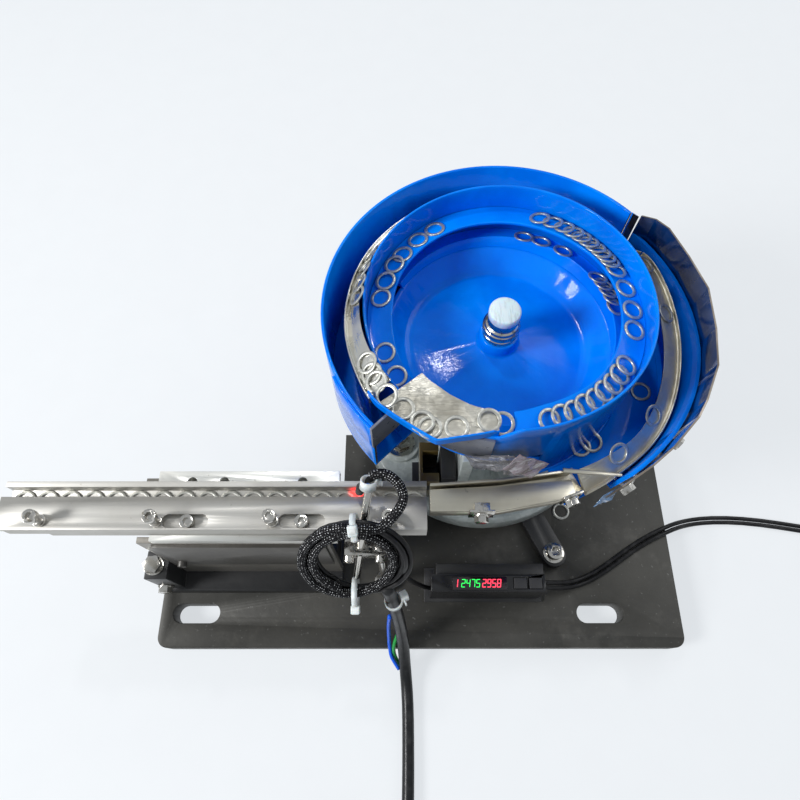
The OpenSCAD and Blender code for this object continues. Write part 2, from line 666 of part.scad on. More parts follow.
// a washer lying on the climbing track, its edge against the wall; lean tips a shingled one
climb = 2.7;
washer_gap = 0.03;
module ledge_washer(th, lift = 0, lean = 0) {
  u = 215 - th;
  ri = lookup(u, in_tab);
  ro = track_out(u);
  tilt = atan(track_fall / (ro - ri));
  r = ro - washer_d / 2 * cos(tilt) - 0.7;
  wash_on(th, r, led(u) - track_fall * (r - ri) / (ro - ri) + washer_t / 2 / cos(tilt) + lift
    + washer_gap, tilt, lean - climb);
}
// a washer in the falling lane, its edge against the lip
lane_slope = 6.2;
module lane_washer(th) {
  ri = lookup(th, in_lane_tab);
  ro = lookup(th, lip_tab) - 1.2;
  drop = lane_up + 1.2;
  tilt = atan(drop / (ro - ri));
  r = ro - washer_d / 2 * cos(tilt) - 0.9;
  wash_on(th, r, lane_z(th) - 1.2 + drop * (ro - r) / (ro - ri) + washer_t / 2 / cos(tilt)
    + 5 * washer_gap, tilt, lane_slope);
}
module bowl_washers() {
  color(bright) {
    for (a = [121, 131, 142, 168, 197, 210, 23, 12, 1, -10]) ledge_washer(a);
    for (i = [0:6]) ledge_washer(69 - i * 5.6, 1.1, -11);
    for (i = [0:7]) ledge_washer(-32 - i * 5.4, 1.1, -11.5);
    for (a = [208, 197, 172, 8, -31, -47]) lane_washer(a);
    for (p = [[-28, -69.8], [-41.7, -69]]) at(p[0], p[1], 178 + washer_t / 2) washer();
    for (p = [[83.5, -24], [82, 2]]) at(p[0], p[1], 120.5 + washer_t / 2) washer();
  }
}

// ---------- the rail ----------
rail_r = -41.9;
rail_l = rail_r - rail_len;
module rail_bar() {
  color(steel) difference() {
    at(rail_r, 0, 0) rotate([90, 0, -90]) linear_extrude(height = rail_len)
      polygon([[83, 121], [83, 136], [86, 136], [86, 129], [98.2, 129], [98.2, 131], [108, 131],
        [108, 121]]);
    at(rail_l - 6, -112, 118) rotate([0, 0, 8]) cube([8, 40, 22]);
    at(rail_l - 2, -112, 118) cube([24, 34, 7]);
    for (i = [0:3]) at(-239.9 + i * screw_pitch, -103.6, 118) cylinder(d = 4, h = 20);
    for (x = [-165, -106.2]) at(x, -103.6, 118) cylinder(d = 4, h = 20);
  }
}

module rail_cover() {
  color(steel) difference() {
    at(rail_l - 2.4, -108, cover_z) cube([rail_len + 2.4, 17.3, 3]);
    at(rail_l - 12, -112, 118) rotate([0, 0, 8]) cube([9.4, 40, 22]);
    for (i = [0:3]) at(-239.9 + i * screw_pitch, -103.6, 118) cylinder(d = 4, h = 20);
    for (x = [-166, -106.2]) at(x, -103.5, 130) {
      at(-8.4, -3.6, 0) cube([16.8, 7.2, 6]);
      for (s = [-8.4, 8.4]) at(s, 0, 0) cylinder(d = 7.2, h = 6);
    }
  }
}

module rail_screws() {
  color(bright) {
    for (i = [0:3]) at(-239.9 + i * screw_pitch, -103.6, cover_z + 10.5) {
      cap_screw(4, 18);
      at(0, 0, -7.5) tube(3.2, 2, 1.6);
    }
    for (x = [-165, -106.2]) at(x, -103.6, 131) cap_screw(4, 20);
  }
}

module lin_top() {
  color(steel) difference() {
    union() {
      at(-188, -111, 115) cube([99, 38.4, 6]);
      at(-188, -104.5, 103) cube([99, 26, 12]);
      at(-142.8, -103, 62) cube([7, 22, 41]);
    }
    for (x = [-169.4, -151.9, -109.1]) at(x, -78.6, 110) cylinder(d = 5.2, h = 20);
    for (x = [-165, -106.2]) at(x, -103.6, 105) cylinder(d = 4, h = 20);
  }
}

module rail_washers() {
  color(bright) for (i = [0:17])
    at(rail_r - 6.6 - i * 12.05, -92.15, groove_z + washer_t / 2 + 0.02) washer();
}

base_plate();
anchor_bar();
drive_feet();
drive_base();
base_fasteners();
magnet_core();
magnet_coil();
bowl_springs();
lin_base();
lin_side_plates();
lin_covers();
lin_springs();
lin_magnet();
amp_body();
amp_window();
amp_bracket();
button_set();
button_mode();
sensor_rods();
rod_clamp();
sensor_head();
cable_ties();
sensor_lead();
lead_coil();
amp_lead();
amp_coil();
power_cable();
power_coil();
lead_plugs();
inner_wires();
stray_washer();
top_casting();
armature_post();
bowl_floor();
bowl_wall();
bowl_track();
transfer_plate();
lane_left();
lane_right();
lane_skirt();
pan_floor();
pan_wall();
pan_cone();
guard();
front_band();
film();
exit_channel();
exit_cover();
exit_clamps();
centre_nut();
centre_cap();
bowl_washers();
rail_bar();
rail_cover();
rail_screws();
lin_top();
rail_washers();
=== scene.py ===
# %% [markdown]
# # A vibratory bowl feeder for small washers
# The feeder is a blue coated bowl on a cast vibrating drive, a straight steel rail on a second
# drive, a sensor with its lead tied up in a coil, and a thick steel base plate.
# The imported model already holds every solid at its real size. This lesson dresses it: cables,
# ties, thin coated sheets, film and washers are modelled here, and each surface gets its finish.

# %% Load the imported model
import json
import math

import bmesh
import bpy
from mathutils import Matrix, Vector, noise

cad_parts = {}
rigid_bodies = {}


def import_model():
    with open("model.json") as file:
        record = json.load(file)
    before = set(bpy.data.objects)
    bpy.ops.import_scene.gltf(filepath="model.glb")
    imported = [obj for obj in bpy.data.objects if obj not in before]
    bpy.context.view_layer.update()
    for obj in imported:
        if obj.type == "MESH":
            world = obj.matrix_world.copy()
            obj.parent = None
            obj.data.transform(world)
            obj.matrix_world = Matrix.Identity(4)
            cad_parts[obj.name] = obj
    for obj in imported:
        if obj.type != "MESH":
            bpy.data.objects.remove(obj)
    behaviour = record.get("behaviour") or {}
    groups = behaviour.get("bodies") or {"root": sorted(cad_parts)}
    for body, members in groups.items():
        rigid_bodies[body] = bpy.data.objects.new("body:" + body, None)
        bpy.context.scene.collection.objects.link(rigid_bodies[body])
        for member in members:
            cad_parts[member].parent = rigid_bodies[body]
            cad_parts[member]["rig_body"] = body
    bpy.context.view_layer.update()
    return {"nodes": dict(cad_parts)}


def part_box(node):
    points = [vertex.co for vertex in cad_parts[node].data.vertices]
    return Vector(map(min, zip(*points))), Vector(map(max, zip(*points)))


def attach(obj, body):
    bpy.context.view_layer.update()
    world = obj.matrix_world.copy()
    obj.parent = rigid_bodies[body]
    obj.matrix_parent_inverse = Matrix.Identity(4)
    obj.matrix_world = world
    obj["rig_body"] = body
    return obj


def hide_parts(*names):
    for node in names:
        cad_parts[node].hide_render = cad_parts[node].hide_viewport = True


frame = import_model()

scene = bpy.context.scene
MM = 0.001
print("nodes in the frame:", len(frame["nodes"]))

# %% [markdown]
# ## The camera
# The feeder is seen from above and in front, as by someone who stands at the bench and looks
# down into the bowl. A camera can be aimed with a constraint, but three turns about its own
# axes are exact and stay fixed: look down, turn a hair to the left, tip a hair to the side.

# %% Camera
look_down = math.radians(65.27)
turn_left = math.radians(0.19)
tip = math.radians(-0.23)
camera = bpy.data.objects.new("camera", bpy.data.cameras.new("camera"))
scene.collection.objects.link(camera)
aim = Matrix.Rotation(turn_left, 4, "Z") @ Matrix.Rotation(math.pi / 2 - look_down, 4, "X")
camera.matrix_world = (
    Matrix.Translation(Vector((-54.8, -181.3, 449.0)) * MM) @ aim @ Matrix.Rotation(tip, 4, "Z")
)
camera.data.sensor_width = 36
camera.data.lens = 28.05
camera.data.shift_x = -0.0012
camera.data.shift_y = 0.0016
camera.data.clip_start = 0.01
scene.camera = camera
print("camera at", [round(number, 3) for number in camera.location])

# %% [markdown]
# ## Shader sums that read like sums
# A finish is mostly arithmetic on noise. Written node by node it takes pages, so a small class
# wraps a socket and lets plus, minus and times add the Math nodes. A second class holds
# one material, and every other node comes from its one method.


# %% Wires and finishes
class Wire:
    """An output socket that can be added, subtracted and multiplied."""

    def __init__(self, tree, socket):
        self.tree = tree
        self.socket = socket

    def sum(self, operation, first, second=0.0):
        made = self.tree.nodes.new("ShaderNodeMath")
        made.operation = operation
        plug(self.tree, made.inputs[0], first)
        plug(self.tree, made.inputs[1], second)
        return Wire(self.tree, made.outputs[0])

    def __add__(self, other):
        return self.sum("ADD", self, other)

    def __sub__(self, other):
        return self.sum("SUBTRACT", self, other)

    def __rsub__(self, other):
        return self.sum("SUBTRACT", other, self)

    def __mul__(self, other):
        return self.sum("MULTIPLY", self, other)

    __radd__ = __add__
    __rmul__ = __mul__


def plug(tree, socket, value):
    """A wire is linked to the socket, and a plain number or colour is set on it."""
    if isinstance(value, Wire):
        tree.links.new(value.socket, socket)
    else:
        socket.default_value = value


class Finish:
    """One material: its shader, and the nodes that change its colour, gloss and relief."""

    def __init__(self, name, **constants):
        self.material = bpy.data.materials.new(name)
        self.material.use_nodes = True
        self.tree = self.material.node_tree
        self.shader = self.tree.nodes["Principled BSDF"]
        self.set(**constants)
        self.place = self.node("TexCoord", {})["Object"]
        self.uv = self.node("TexCoord", {})["UV"]

    def set(self, **values):
        for name, value in values.items():
            plug(self.tree, self.shader.inputs[name.replace("_", " ")], value)

    def node(self, kind, sockets, **settings):
        """Any shader node, its settings and what goes into its sockets; gives its outputs."""
        made = self.tree.nodes.new("ShaderNode" + kind)
        for name, value in settings.items():
            setattr(made, name, value)
        for name, value in sockets.items():
            plug(self.tree, made.inputs[name], value)
        return {out.name: Wire(self.tree, out) for out in made.outputs if out.enabled}

    def stretched(self, along, turn=(0, 0, 0)):
        """The place on the piece, stretched or turned, to draw out a pattern."""
        sockets = {"Vector": self.place, "Scale": along, "Rotation": turn}
        return self.node("Mapping", sockets)["Vector"]

    def noise(self, scale, detail=3.0, rough=0.55, place=None):
        """Cloudy noise from 0 to 1; scale is the number of clouds in a metre."""
        sockets = {"Vector": place or self.place, "Scale": scale}
        sockets |= {"Detail": detail, "Roughness": rough}
        return self.node("TexNoise", sockets)["Fac"]

    def between(self, wire, low, high):
        """0 below low, 1 above high, and a smooth slope between."""
        sockets = {"Value": wire, "From Min": low, "From Max": high}
        return self.node("MapRange", sockets, interpolation_type="SMOOTHSTEP")["Result"]

    def vector(self, operation, sockets):
        """A sum on whole vectors."""
        return self.node("VectorMath", sockets, operation=operation)

    def patches(self, scale, detail, low, high, rough=0.55):
        """Noise cut into patches: 0 where it is below low and 1 where it is above high."""
        return self.between(self.noise(scale, detail, rough), low, high)

    def blend(self, mask, first, second):
        """The first colour where the mask is 0 and the second where it is 1."""
        made = self.tree.nodes.new("ShaderNodeMix")
        made.data_type = "RGBA"
        plug(self.tree, made.inputs["Factor"], mask)
        plug(self.tree, made.inputs[6], first)
        plug(self.tree, made.inputs[7], second)
        return Wire(self.tree, made.outputs[2])

    def red_light(self, level, reach=0.006):
        """The red light of the sensor, which falls on whatever lies under it."""
        away = self.vector("DISTANCE", {0: self.place, 1: sensed_spot})["Value"]
        spot = self.between(away, 0.001, reach)
        self.set(
            Emission_Color=self.blend(spot, rgb(1.0, 0.02, 0.015), rgb(0.0, 0.0, 0.0)),
            Emission_Strength=level,
        )

    def relief(self, height, depth, strength=1.0):
        """Bump from a height that runs from 0 to 1; depth is in metres."""
        sockets = {"Height": height, "Distance": depth, "Strength": strength}
        self.set(Normal=self.node("Bump", sockets)["Normal"])


sensed_spot = (-0.0785, -0.0875, 0.131)


def rgb(red, green, blue):
    """A colour for a socket, from linear values."""
    return (red, green, blue, 1.0)


def mottled(name, first, second, patches, grain=None, rough=None, glow=0.0, **constants):
    """The plain finish: two colours in patches, gloss that goes with them, and a fine grain."""
    made = Finish(name, **constants)
    mask = made.patches(*patches)
    made.set(Base_Color=made.blend(mask, first, second))
    if rough:
        base, change = rough
        made.set(Roughness=base + mask * change)
    if glow:
        made.red_light(glow)
    if grain:
        scale, detail, depth, strength = grain
        made.relief(made.noise(scale, detail), depth, strength)
    return made.material


print("shader helpers ready")

# %% [markdown]
# ## Black cables
# The sensor lead is sleeved in a braid of black plastic yarn; the glints where it crosses are
# painted in as rows of pale flecks. The pattern has to follow the cable round its bends, so it
# reads the tube's own UV map: one way round the cable and the other way along it.

# %% Cable finishes
def braid_finish():
    made = Finish("braided_sleeve", Roughness=0.6, Specular_IOR_Level=0.18)
    split = made.node("SeparateXYZ", {"Vector": made.uv})
    around = split["X"] * 6.0
    along = split["Y"] * 6.0
    one_way = (around + along) * 6.2832
    other_way = (around - along) * 6.2832
    weave = one_way.sum("SINE", one_way) * other_way.sum("SINE", other_way) * 0.5 + 0.5
    # The pale flecks at the crossings of the yarn are painted glints, pale all round the cable.
    painted_glint = made.between(weave, 0.72, 0.9)
    glint_patches = made.patches(1100, 2, 0.5, 0.55)
    tint = made.blend(painted_glint * glint_patches, rgb(0.003, 0.003, 0.004), rgb(0.75, 0.76, 0.77))
    made.set(Base_Color=tint)
    made.relief(weave, 0.0004, 0.8)
    return made.material


def jacket_finish(name, colour, ripple=0.3):
    dusty = tuple(0.75 * channel + 0.02 for channel in colour[:3]) + (1.0,)
    grain = (500, 2, 0.0002, ripple)
    dust = (160, 4, 0.45, 0.75)
    return mottled(name, colour, dusty, dust, grain, (0.3, 0.2), Specular_IOR_Level=0.22)


braid = braid_finish()
black_jacket = jacket_finish("black_jacket", rgb(0.008, 0.008, 0.009))
sleeve_black = jacket_finish("split_sleeve", rgb(0.012, 0.013, 0.014), 0.5)
blue_jacket = jacket_finish("blue_wire", rgb(0.012, 0.12, 0.75))
green_jacket = jacket_finish("green_wire", rgb(0.02, 0.32, 0.06))
print("cable finishes:", braid.name, black_jacket.name)

# %% [markdown]
# ## Cable routes
# A cable is a round tube along a smooth line through given points. The same line was used
# for the solids of the imported model, so the route points are repeated here. A tube could be a
# curve object with a bevel; a sheet of quads rolled round the line is used instead, because its
# grid carries the UV map that the braid needs.


# %% Lines and tubes
def smooth_line(points, steps):
    """A smooth line through the points, with so many steps between each pair."""
    spots = [Vector(point) for point in points]
    line = []
    for i in range(len(spots) - 1):
        a, b = spots[max(i - 1, 0)], spots[i]
        c, d = spots[i + 1], spots[min(i + 2, len(spots) - 1)]
        for k in range(steps):
            t = k / steps
            line.append(
                0.5
                * (
                    2 * b
                    + (c - a) * t
                    + (2 * a - 5 * b + 4 * c - d) * t * t
                    + (3 * b - a - 3 * c + d) * t * t * t
                )
            )
    return line + [spots[-1]]


def face_out(shape):
    """Turns all faces outwards."""
    bmesh.ops.recalc_face_normals(shape, faces=shape.faces)


def spun(shape, corners, degrees, steps, whole=True):
    """Spins a closed ring of corners (radius, height) about the upright axis."""
    ring = [shape.verts.new((radius, 0, height)) for radius, height in corners]
    edges = [shape.edges.new(pair) for pair in zip(ring, ring[1:] + ring[:1])]
    bmesh.ops.spin(
        shape,
        geom=ring + edges,
        axis=(0, 0, 1),
        cent=(0, 0, 0),
        angle=math.radians(degrees),
        steps=steps,
        use_merge=whole,
    )


def length_of(line):
    return sum((b - a).length for a, b in zip(line, line[1:]))


def beside(line, sideways):
    """The same line, moved level to one side."""
    moved = []
    for i, spot in enumerate(line):
        ahead = line[min(i + 1, len(line) - 1)] - line[max(i - 1, 0)]
        moved.append(spot + ahead.cross(Vector((0, 0, 1))).normalized() * sideways)
    return moved


def tube(line, diameter, around=12):
    """A bmesh tube along a line in millimetres, with its UV map round and along it."""
    shape = bmesh.new()
    layer = shape.loops.layers.uv.verify()
    bmesh.ops.create_grid(
        shape, x_segments=around, y_segments=len(line) - 1, size=0.5, calc_uvs=True
    )
    ahead = [
        (line[min(i + 1, len(line) - 1)] - line[max(i - 1, 0)]).normalized()
        for i in range(len(line))
    ]
    side = [ahead[0].orthogonal().normalized()]
    for direction in ahead[1:]:
        side.append((side[-1] - direction * side[-1].dot(direction)).normalized())
    run = [0.0]
    for a, b in zip(line, line[1:]):
        run.append(run[-1] + (b - a).length)
    for vert in shape.verts:
        station = round((vert.co.y + 0.5) * (len(line) - 1))
        turn = (vert.co.x + 0.5) * math.tau
        out = side[station] * math.cos(turn)
        out += ahead[station].cross(side[station]) * math.sin(turn)
        vert.co = (line[station] + out * diameter / 2) * MM
    for face in shape.faces:
        for loop in face.loops:
            place = loop[layer].uv
            station = round(place.y * (len(line) - 1))
            place.y = run[station] / (math.pi * diameter)
    bmesh.ops.remove_doubles(shape, verts=shape.verts, dist=0.00002)
    bmesh.ops.holes_fill(shape, edges=[edge for edge in shape.edges if edge.is_boundary])
    face_out(shape)
    return shape


def piece(name, shape, body, finish, stands_for=(), smooth=True):
    """Turns a bmesh into a piece of the feeder that rides on one of its bodies."""
    mesh = bpy.data.meshes.new(name)
    shape.to_mesh(mesh)
    shape.free()
    for material in finish if isinstance(finish, list) else [finish]:
        mesh.materials.append(material)
    mesh.polygons.foreach_set("use_smooth", [smooth] * len(mesh.polygons))
    made = bpy.data.objects.new(name, mesh)
    scene.collection.objects.link(made)
    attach(made, body)
    if stands_for:
        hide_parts(*stands_for)
    return made


def lay_cord(name, line, diameter, finish, nodes=()):
    """A cord along a line in millimetres; its length is printed."""
    made = piece(name, tube(line, diameter), "base", finish, nodes)
    tuple(line[0] * MM)
    round(length_of(line) * MM, 4)
    [tuple(spot * MM) for spot in line]
    print(f"{name}: {length_of(line) * MM:.3f} m of {diameter} mm")
    return made


# %% [markdown]
# ## The sensor lead and its hanging coil
# The lead leaves the sensor at the top of the chrome rod in a braided sleeve, is wound up, and
# hangs from the rod in a slanting coil. The sleeve ends after one and a half turns and the bare
# lead goes on, wound the other way round, and down to the amplifier. A coil is worked out by a
# loop: each point has an angle, and a place within the bundle that changes with the angle.

# %% Sensor lead
coil_centre = Vector((-78.8, -122.7, 127.8))
coil_radius = 24.5
coil_lean = Matrix.Rotation(math.radians(60), 3, "X")


def on_coil(degrees, out, near):
    """A point of the slanting coil: out is away from its middle, near is towards the viewer."""
    a = math.radians(degrees)
    flat = Vector((math.cos(a), math.sin(a), 0)) * (coil_radius + out)
    return coil_centre + coil_lean @ (flat + Vector((0, 0, near)))


def right_hand(degrees):
    """1 on the right of the coil and 0 on the left."""
    return 0.5 + 0.5 * math.cos(math.radians(degrees))


def sleeved(degrees):
    """The braided sleeve: outer turn first, then the inner one, inside the others on the right."""
    turn = (degrees - 62) / 360
    spread = 2.7 - 5.4 * min(max(turn * 2 - 0.9, 0), 1)
    right = right_hand(degrees) ** 2
    return on_coil(degrees, spread * (1 - right) - 4.6 * right, 1.2 - 1.5 * right)


# where the bare lead passes, as (out, near), by turns on the left, under the sleeve, and on the
# right
bare_passes = [(-2.9, -3.0), (0.4, -2.6), (0.1, -3.0), (4.6, -2.4), (2.9, -3.0), (2.0, 0.4)]
bare_passes += [(-1.5, -5.6), (6.3, 0.1), (1.5, -5.6), (3.6, 2.7), (3.6, 2.7)]


def bare(degrees):
    """The bare lead, whose turns spread on the right and hide under the sleeve on the left."""
    half_turns = max((180 - degrees) / 180, 0)
    whole = int(half_turns)
    part = half_turns - whole
    part = part * part * (3 - 2 * part)
    first, second = (Vector(bare_passes[min(whole + step, 10)]) for step in (0, 1))
    return on_coil(degrees, *first.lerp(second, part))


sensor_route = [(-70, -88, 159), (-64, -86, 160), (-57, -90, 158), (-53.5, -97, 155)]
sensor_route += [(-57, -104, 153), (-63, -109.5, 150), (-66.8, -111.9, 147.5)]
sleeve_line = smooth_line(sensor_route, 3)
sleeve_line += [sleeved(angle) for angle in range(76, 614, 9)]

bare_from = 250
bare_turns = [bare(bare_from - angle) for angle in range(0, 1711, 12)]
tail_route = [(-57, -127.5, 114), (-55, -126, 104), (-52, -124, 84), (-48.5, -123, 62)]
tail_route += [(-44, -122, 44), (-40.5, -122, 34), (-36.5, -122, 30)]


def eased_line(line, rounds):
    """The same line with its small corners relaxed, ends kept."""
    for _ in range(rounds):
        inner = [(a + b * 2 + c) / 4 for a, b, c in zip(line, line[1:], line[2:])]
        line = [line[0]] + inner + [line[-1]]
    return line


bare_line = eased_line(bare_turns + smooth_line(tail_route, 3), 6)
sleeve_line = eased_line(sleeve_line, 3)
lay_cord(
    "sensor_sleeve", sleeve_line, 5.0, braid, ["sensor_lead", "lead_coil"]
)
bare_line[0] = sleeve_line[-1].copy()
lay_cord("sensor_bare_lead", bare_line, 2.8, black_jacket)

# %% [markdown]
# ## Leads that leave the plate
# Two thin leads leave the amplifier and cross the right edge of the plate; the supply cable
# leaves the tied coil and crosses the front edge. Their spare length lies on the bench in round
# coils, as it would on a shelf. Each later turn that meets the arriving lead humps over it.

# %% Leads of the amplifier
lead_route = [(34.5, -121.5, 40), (42, -121, 34), (52, -119.5, 24), (62, -118, 17.8)]
lead_route += [(76, -112, 16.9), (90, -103, 16.9), (106, -92, 16.9), (118, -86, 17.1)]
lead_route += [(130, -80.5, 17), (139, -77, 13), (148, -74, 6.5), (160, -71, 2.2)]
lead_route += [(180, -70, 1.6), (204, -72, 1.6), (228, -76, 1.6), (246, -79.5, 1.6)]
lead_coil_middle = Vector((262, -98, 0))
lead_plug_route = [(284, -106, 5.4), (284.6, -114, 5.6), (283.6, -122, 6), (280.5, -128.4, 6)]
lead_plug_route += [(276, -131, 6)]


def ground_turns(middle, first, last, rings, hump_at, hump, step):
    """Turns of a flat coil, clockwise: rings are (radius, height), hump_at where they climb."""
    line = []
    total = first - last
    for angle in range(0, total + 1, step):
        turn = angle / 360
        whole = min(int(turn), len(rings) - 1)
        following = rings[min(whole + 1, len(rings) - 1)]
        part = min(max((turn - whole - 0.75) * 4, 0), 1)
        part = part * part * (3 - 2 * part)
        radius = rings[whole][0] * (1 - part) + following[0] * part
        height = rings[whole][1] * (1 - part) + following[1] * part
        degrees = first - angle
        near = math.cos(math.radians(degrees - hump_at))
        if whole > 0 and rings[whole][0] > rings[0][0] and near > 0.6:
            height += hump * math.sin((near - 0.6) / 0.4 * math.pi / 2)
        a = math.radians(degrees)
        line.append(middle + Vector((radius * math.cos(a), radius * math.sin(a), height)))
    return line


lead_rings = [(17.2, 1.6), (23.6, 1.6), (17.2, 4.8), (22.6, 4.8)]
lead_turns = ground_turns(lead_coil_middle, 75, -1380, lead_rings, 118, 3.2, 15)
lead_middle = smooth_line(lead_route, 2) + lead_turns + smooth_line(lead_plug_route, 2)
lead_middle = eased_line(lead_middle, 3)
for side, end in ((-1, "left"), (1, "right")):
    lay_cord(
        f"amplifier_lead_{end}",
        beside(lead_middle, side * 1.65),
        3.0,
        black_jacket,
        ["amp_lead", "amp_coil"] if side == 1 else [],
    )

# %% Supply cable
power_route = [(-63, -132, 108), (-61.5, -134.5, 97), (-59.5, -137.5, 84), (-57.5, -142, 64)]
power_route += [(-55.5, -148, 43), (-54.3, -153.8, 28.5), (-53.5, -160.5, 19), (-53, -167, 10.5)]
power_route += [(-52, -177, 5), (-51, -190, 3.8), (-51, -208, 3.8), (-51, -240, 3.8)]
power_route += [(-52, -264, 3.8)]
power_coil_middle = Vector((-94, -294, 0))
power_rings = [(41.9, 3.8), (34.1, 3.8), (34.1, 11.4), (41.9, 11.4)]
power_turns = ground_turns(power_coil_middle, 8, -1432, power_rings, 30, 0.0, 12)
plug_route = [(-52.4, -304, 11.4), (-53, -316, 10.6), (-57, -329, 9.6), (-65, -340, 9)]
plug_route += [(-76, -346.6, 9), (-90, -349, 9), (-100, -349, 9)]
power_line = smooth_line(power_route, 2) + power_turns + smooth_line(plug_route, 2)
power_line = eased_line(power_line, 3)
lay_cord(
    "supply_cable",
    power_line,
    7.6,
    sleeve_black,
    ["power_cable", "power_coil"],
)

blue_route = [(-62, -143, 66), (-63, -147, 46), (-63, -153, 26), (-62.6, -158, 17)]
blue_route += [(-61.4, -163, 11.6), (-56.8, -170, 8.4)]
green_route = [(-56.2, -147.5, 40), (-58, -151, 30), (-60, -157, 20.5), (-59.6, -161.5, 11)]
green_route += [(-56, -168, 5), (-53.5, -174, 4.6)]
blue_line = smooth_line(blue_route, 4)
green_line = smooth_line(green_route, 4)
lay_cord(
    "blue_core", blue_line, 2.4, blue_jacket, ["inner_wires"]
)
lay_cord("green_core", green_line, 2.4, green_jacket, [])

# %% [markdown]
# ## Cable ties
# A nylon tie is a thin band round the bundle with a square head where it is pulled through, and
# a short cut tail. The band is a small profile spun into a ring; the head is a block with eased
# edges, a raised catch and the cut tail beside it. All are made flat at the origin, joined, and
# then moved to the bundle by one matrix.

# %% Ties
nylon = mottled(
    "white_nylon",
    rgb(0.62, 0.63, 0.61),
    rgb(0.78, 0.79, 0.77),
    (300, 2, 0.35, 0.7),
    (900, 2, 0.0001, 0.4),
    Roughness=0.42,
    Subsurface_Weight=0.15,
)


def block(shape, low, high, ease=0.0, segments=2):
    """Adds a box between two corners, in millimetres, with eased edges."""
    before = set(shape.verts)
    made = bmesh.ops.create_cube(shape, size=1.0)["verts"]
    low, high = Vector(low), Vector(high)
    for vert in made:
        vert.co = Vector(
            (low[i] + high[i]) / 2 + vert.co[i] * (high[i] - low[i]) for i in range(3)
        )
    if ease:
        edges = list({edge for vert in made for edge in vert.link_edges})
        bmesh.ops.bevel(
            shape,
            geom=edges,
            offset=ease,
            segments=segments,
            affect="EDGES",
            profile=0.5,
            material=-1,
            clamp_overlap=True,
        )
    return [vert for vert in shape.verts if vert not in before]


def tie(name, centre, axis, radius, head_towards, squeeze=1.0, half_width=1.5):
    """A tie round a bundle that runs along axis; its head sits on the side head_towards."""
    shape = bmesh.new()
    thick = 0.8
    corners = [(radius, -half_width), (radius + thick, -half_width)]
    corners += [(radius + thick, half_width), (radius, half_width)]
    spun(shape, corners, 360, 40)
    for vert in shape.verts:
        vert.co.y *= squeeze
    block(shape, (radius - 0.4, -2.6, -2.3), (radius + 4.0, 2.6, 2.3), 0.5, 3)
    block(shape, (radius + 3.6, -1.3, -1.7), (radius + 4.25, 1.3, 1.7), 0.2)
    block(shape, (radius + 0.5, 2.2, -1.4), (radius + 1.5, 5.2, 1.4), 0.25)
    z = Vector(axis).normalized()
    x = Vector(head_towards)
    x = (x - z * x.dot(z)).normalized()
    turn = Matrix((x, z.cross(x), z)).transposed().to_4x4()
    bmesh.ops.transform(shape, matrix=Matrix.Translation(Vector(centre)) @ turn, verts=shape.verts)
    bmesh.ops.scale(shape, vec=(MM, MM, MM), verts=shape.verts)
    face_out(shape)
    nodes = ["cable_ties"] if name.endswith("top") else []
    return piece(name, shape, "base", nylon, nodes)


tie("tie_at_rod_top", (-71, -91.4, 158.6), (-7.9, -35.2, -47.6), 3.6, (0.3, 0.8, 0.7), 0.9, 2.4)
tie("tie_at_coil_back", (-77.6, -110.6, 149.2), (1, 0.1, 0.1), 7.0, (0.1, -0.4, 1.0), 0.9)
tie("tie_at_coil_front", (-79.4, -135, 106.4), (1, 0.0, 0.05), 7.0, (0.1, -1.0, -0.2), 0.9)
tie("tie_on_supply_cable", (-59.4, -137.6, 90), (2, -4, -20), 4.4, (1, 0.6, 0.5))
print("ties:", 4)

# %% [markdown]
# ## Coated blue sheet
# The bowl is coated in a thick, glossy blue plastic. It is sprayed on, so the gloss is broken by
# a fine orange peel, the colour is a little uneven, and the edges are soft. A clear coat over a
# rough base would look like car paint; one smooth plastic shader with two sizes of relief is
# closer to the real coating.

# %% Blue coating
def coating_finish(name, deep, bright):
    made = Finish(name, Roughness=0.16, Specular_IOR_Level=0.12, Coat_Roughness=0.05)
    made.set(Coat_Weight=0.03)
    cloud = made.patches(28, 3, 0.3, 0.7)
    scuff = made.patches(240, 5, 0.62, 0.75)
    made.set(Base_Color=made.blend(cloud, deep, bright), Roughness=0.12 + scuff * 0.16)
    made.relief(made.noise(420, 2) * 0.6 + made.noise(90, 2) * 1.2, 0.00035, 0.35)
    return made.material


blue_coat = coating_finish("blue_coating", rgb(0.0, 0.155, 0.74), rgb(0.0, 0.22, 0.88))

# %% [markdown]
# ## Bands that turn about the axis
# Walls, ledges and lanes of the bowl are all strips that go round its axis while their radius
# and height change. A screw modifier can only climb evenly. Here a small profile is spun in
# place, and then each point is told where its corner of the profile lies at that angle. The
# corner's number is kept as the radius that the point was spun at, so it can be read back.


# %% Bands
def band(corners, start, stop, steps, place, whole=False):
    """Spins a profile of so many corners; place(corner, degrees) gives each point's place."""
    shape = bmesh.new()
    spun(shape, [(1.0 + corner, 0) for corner in range(corners)], stop - start, steps, whole)
    for vert in shape.verts:
        corner = round(vert.co.xy.length) - 1
        turned = (math.degrees(math.atan2(vert.co.y, vert.co.x)) + 0.01) % 360 - 0.01
        vert.co = Vector(place(corner, start + turned)) * MM
    if not whole:
        bmesh.ops.holes_fill(shape, edges=[edge for edge in shape.edges if edge.is_boundary])
    face_out(shape)
    return shape


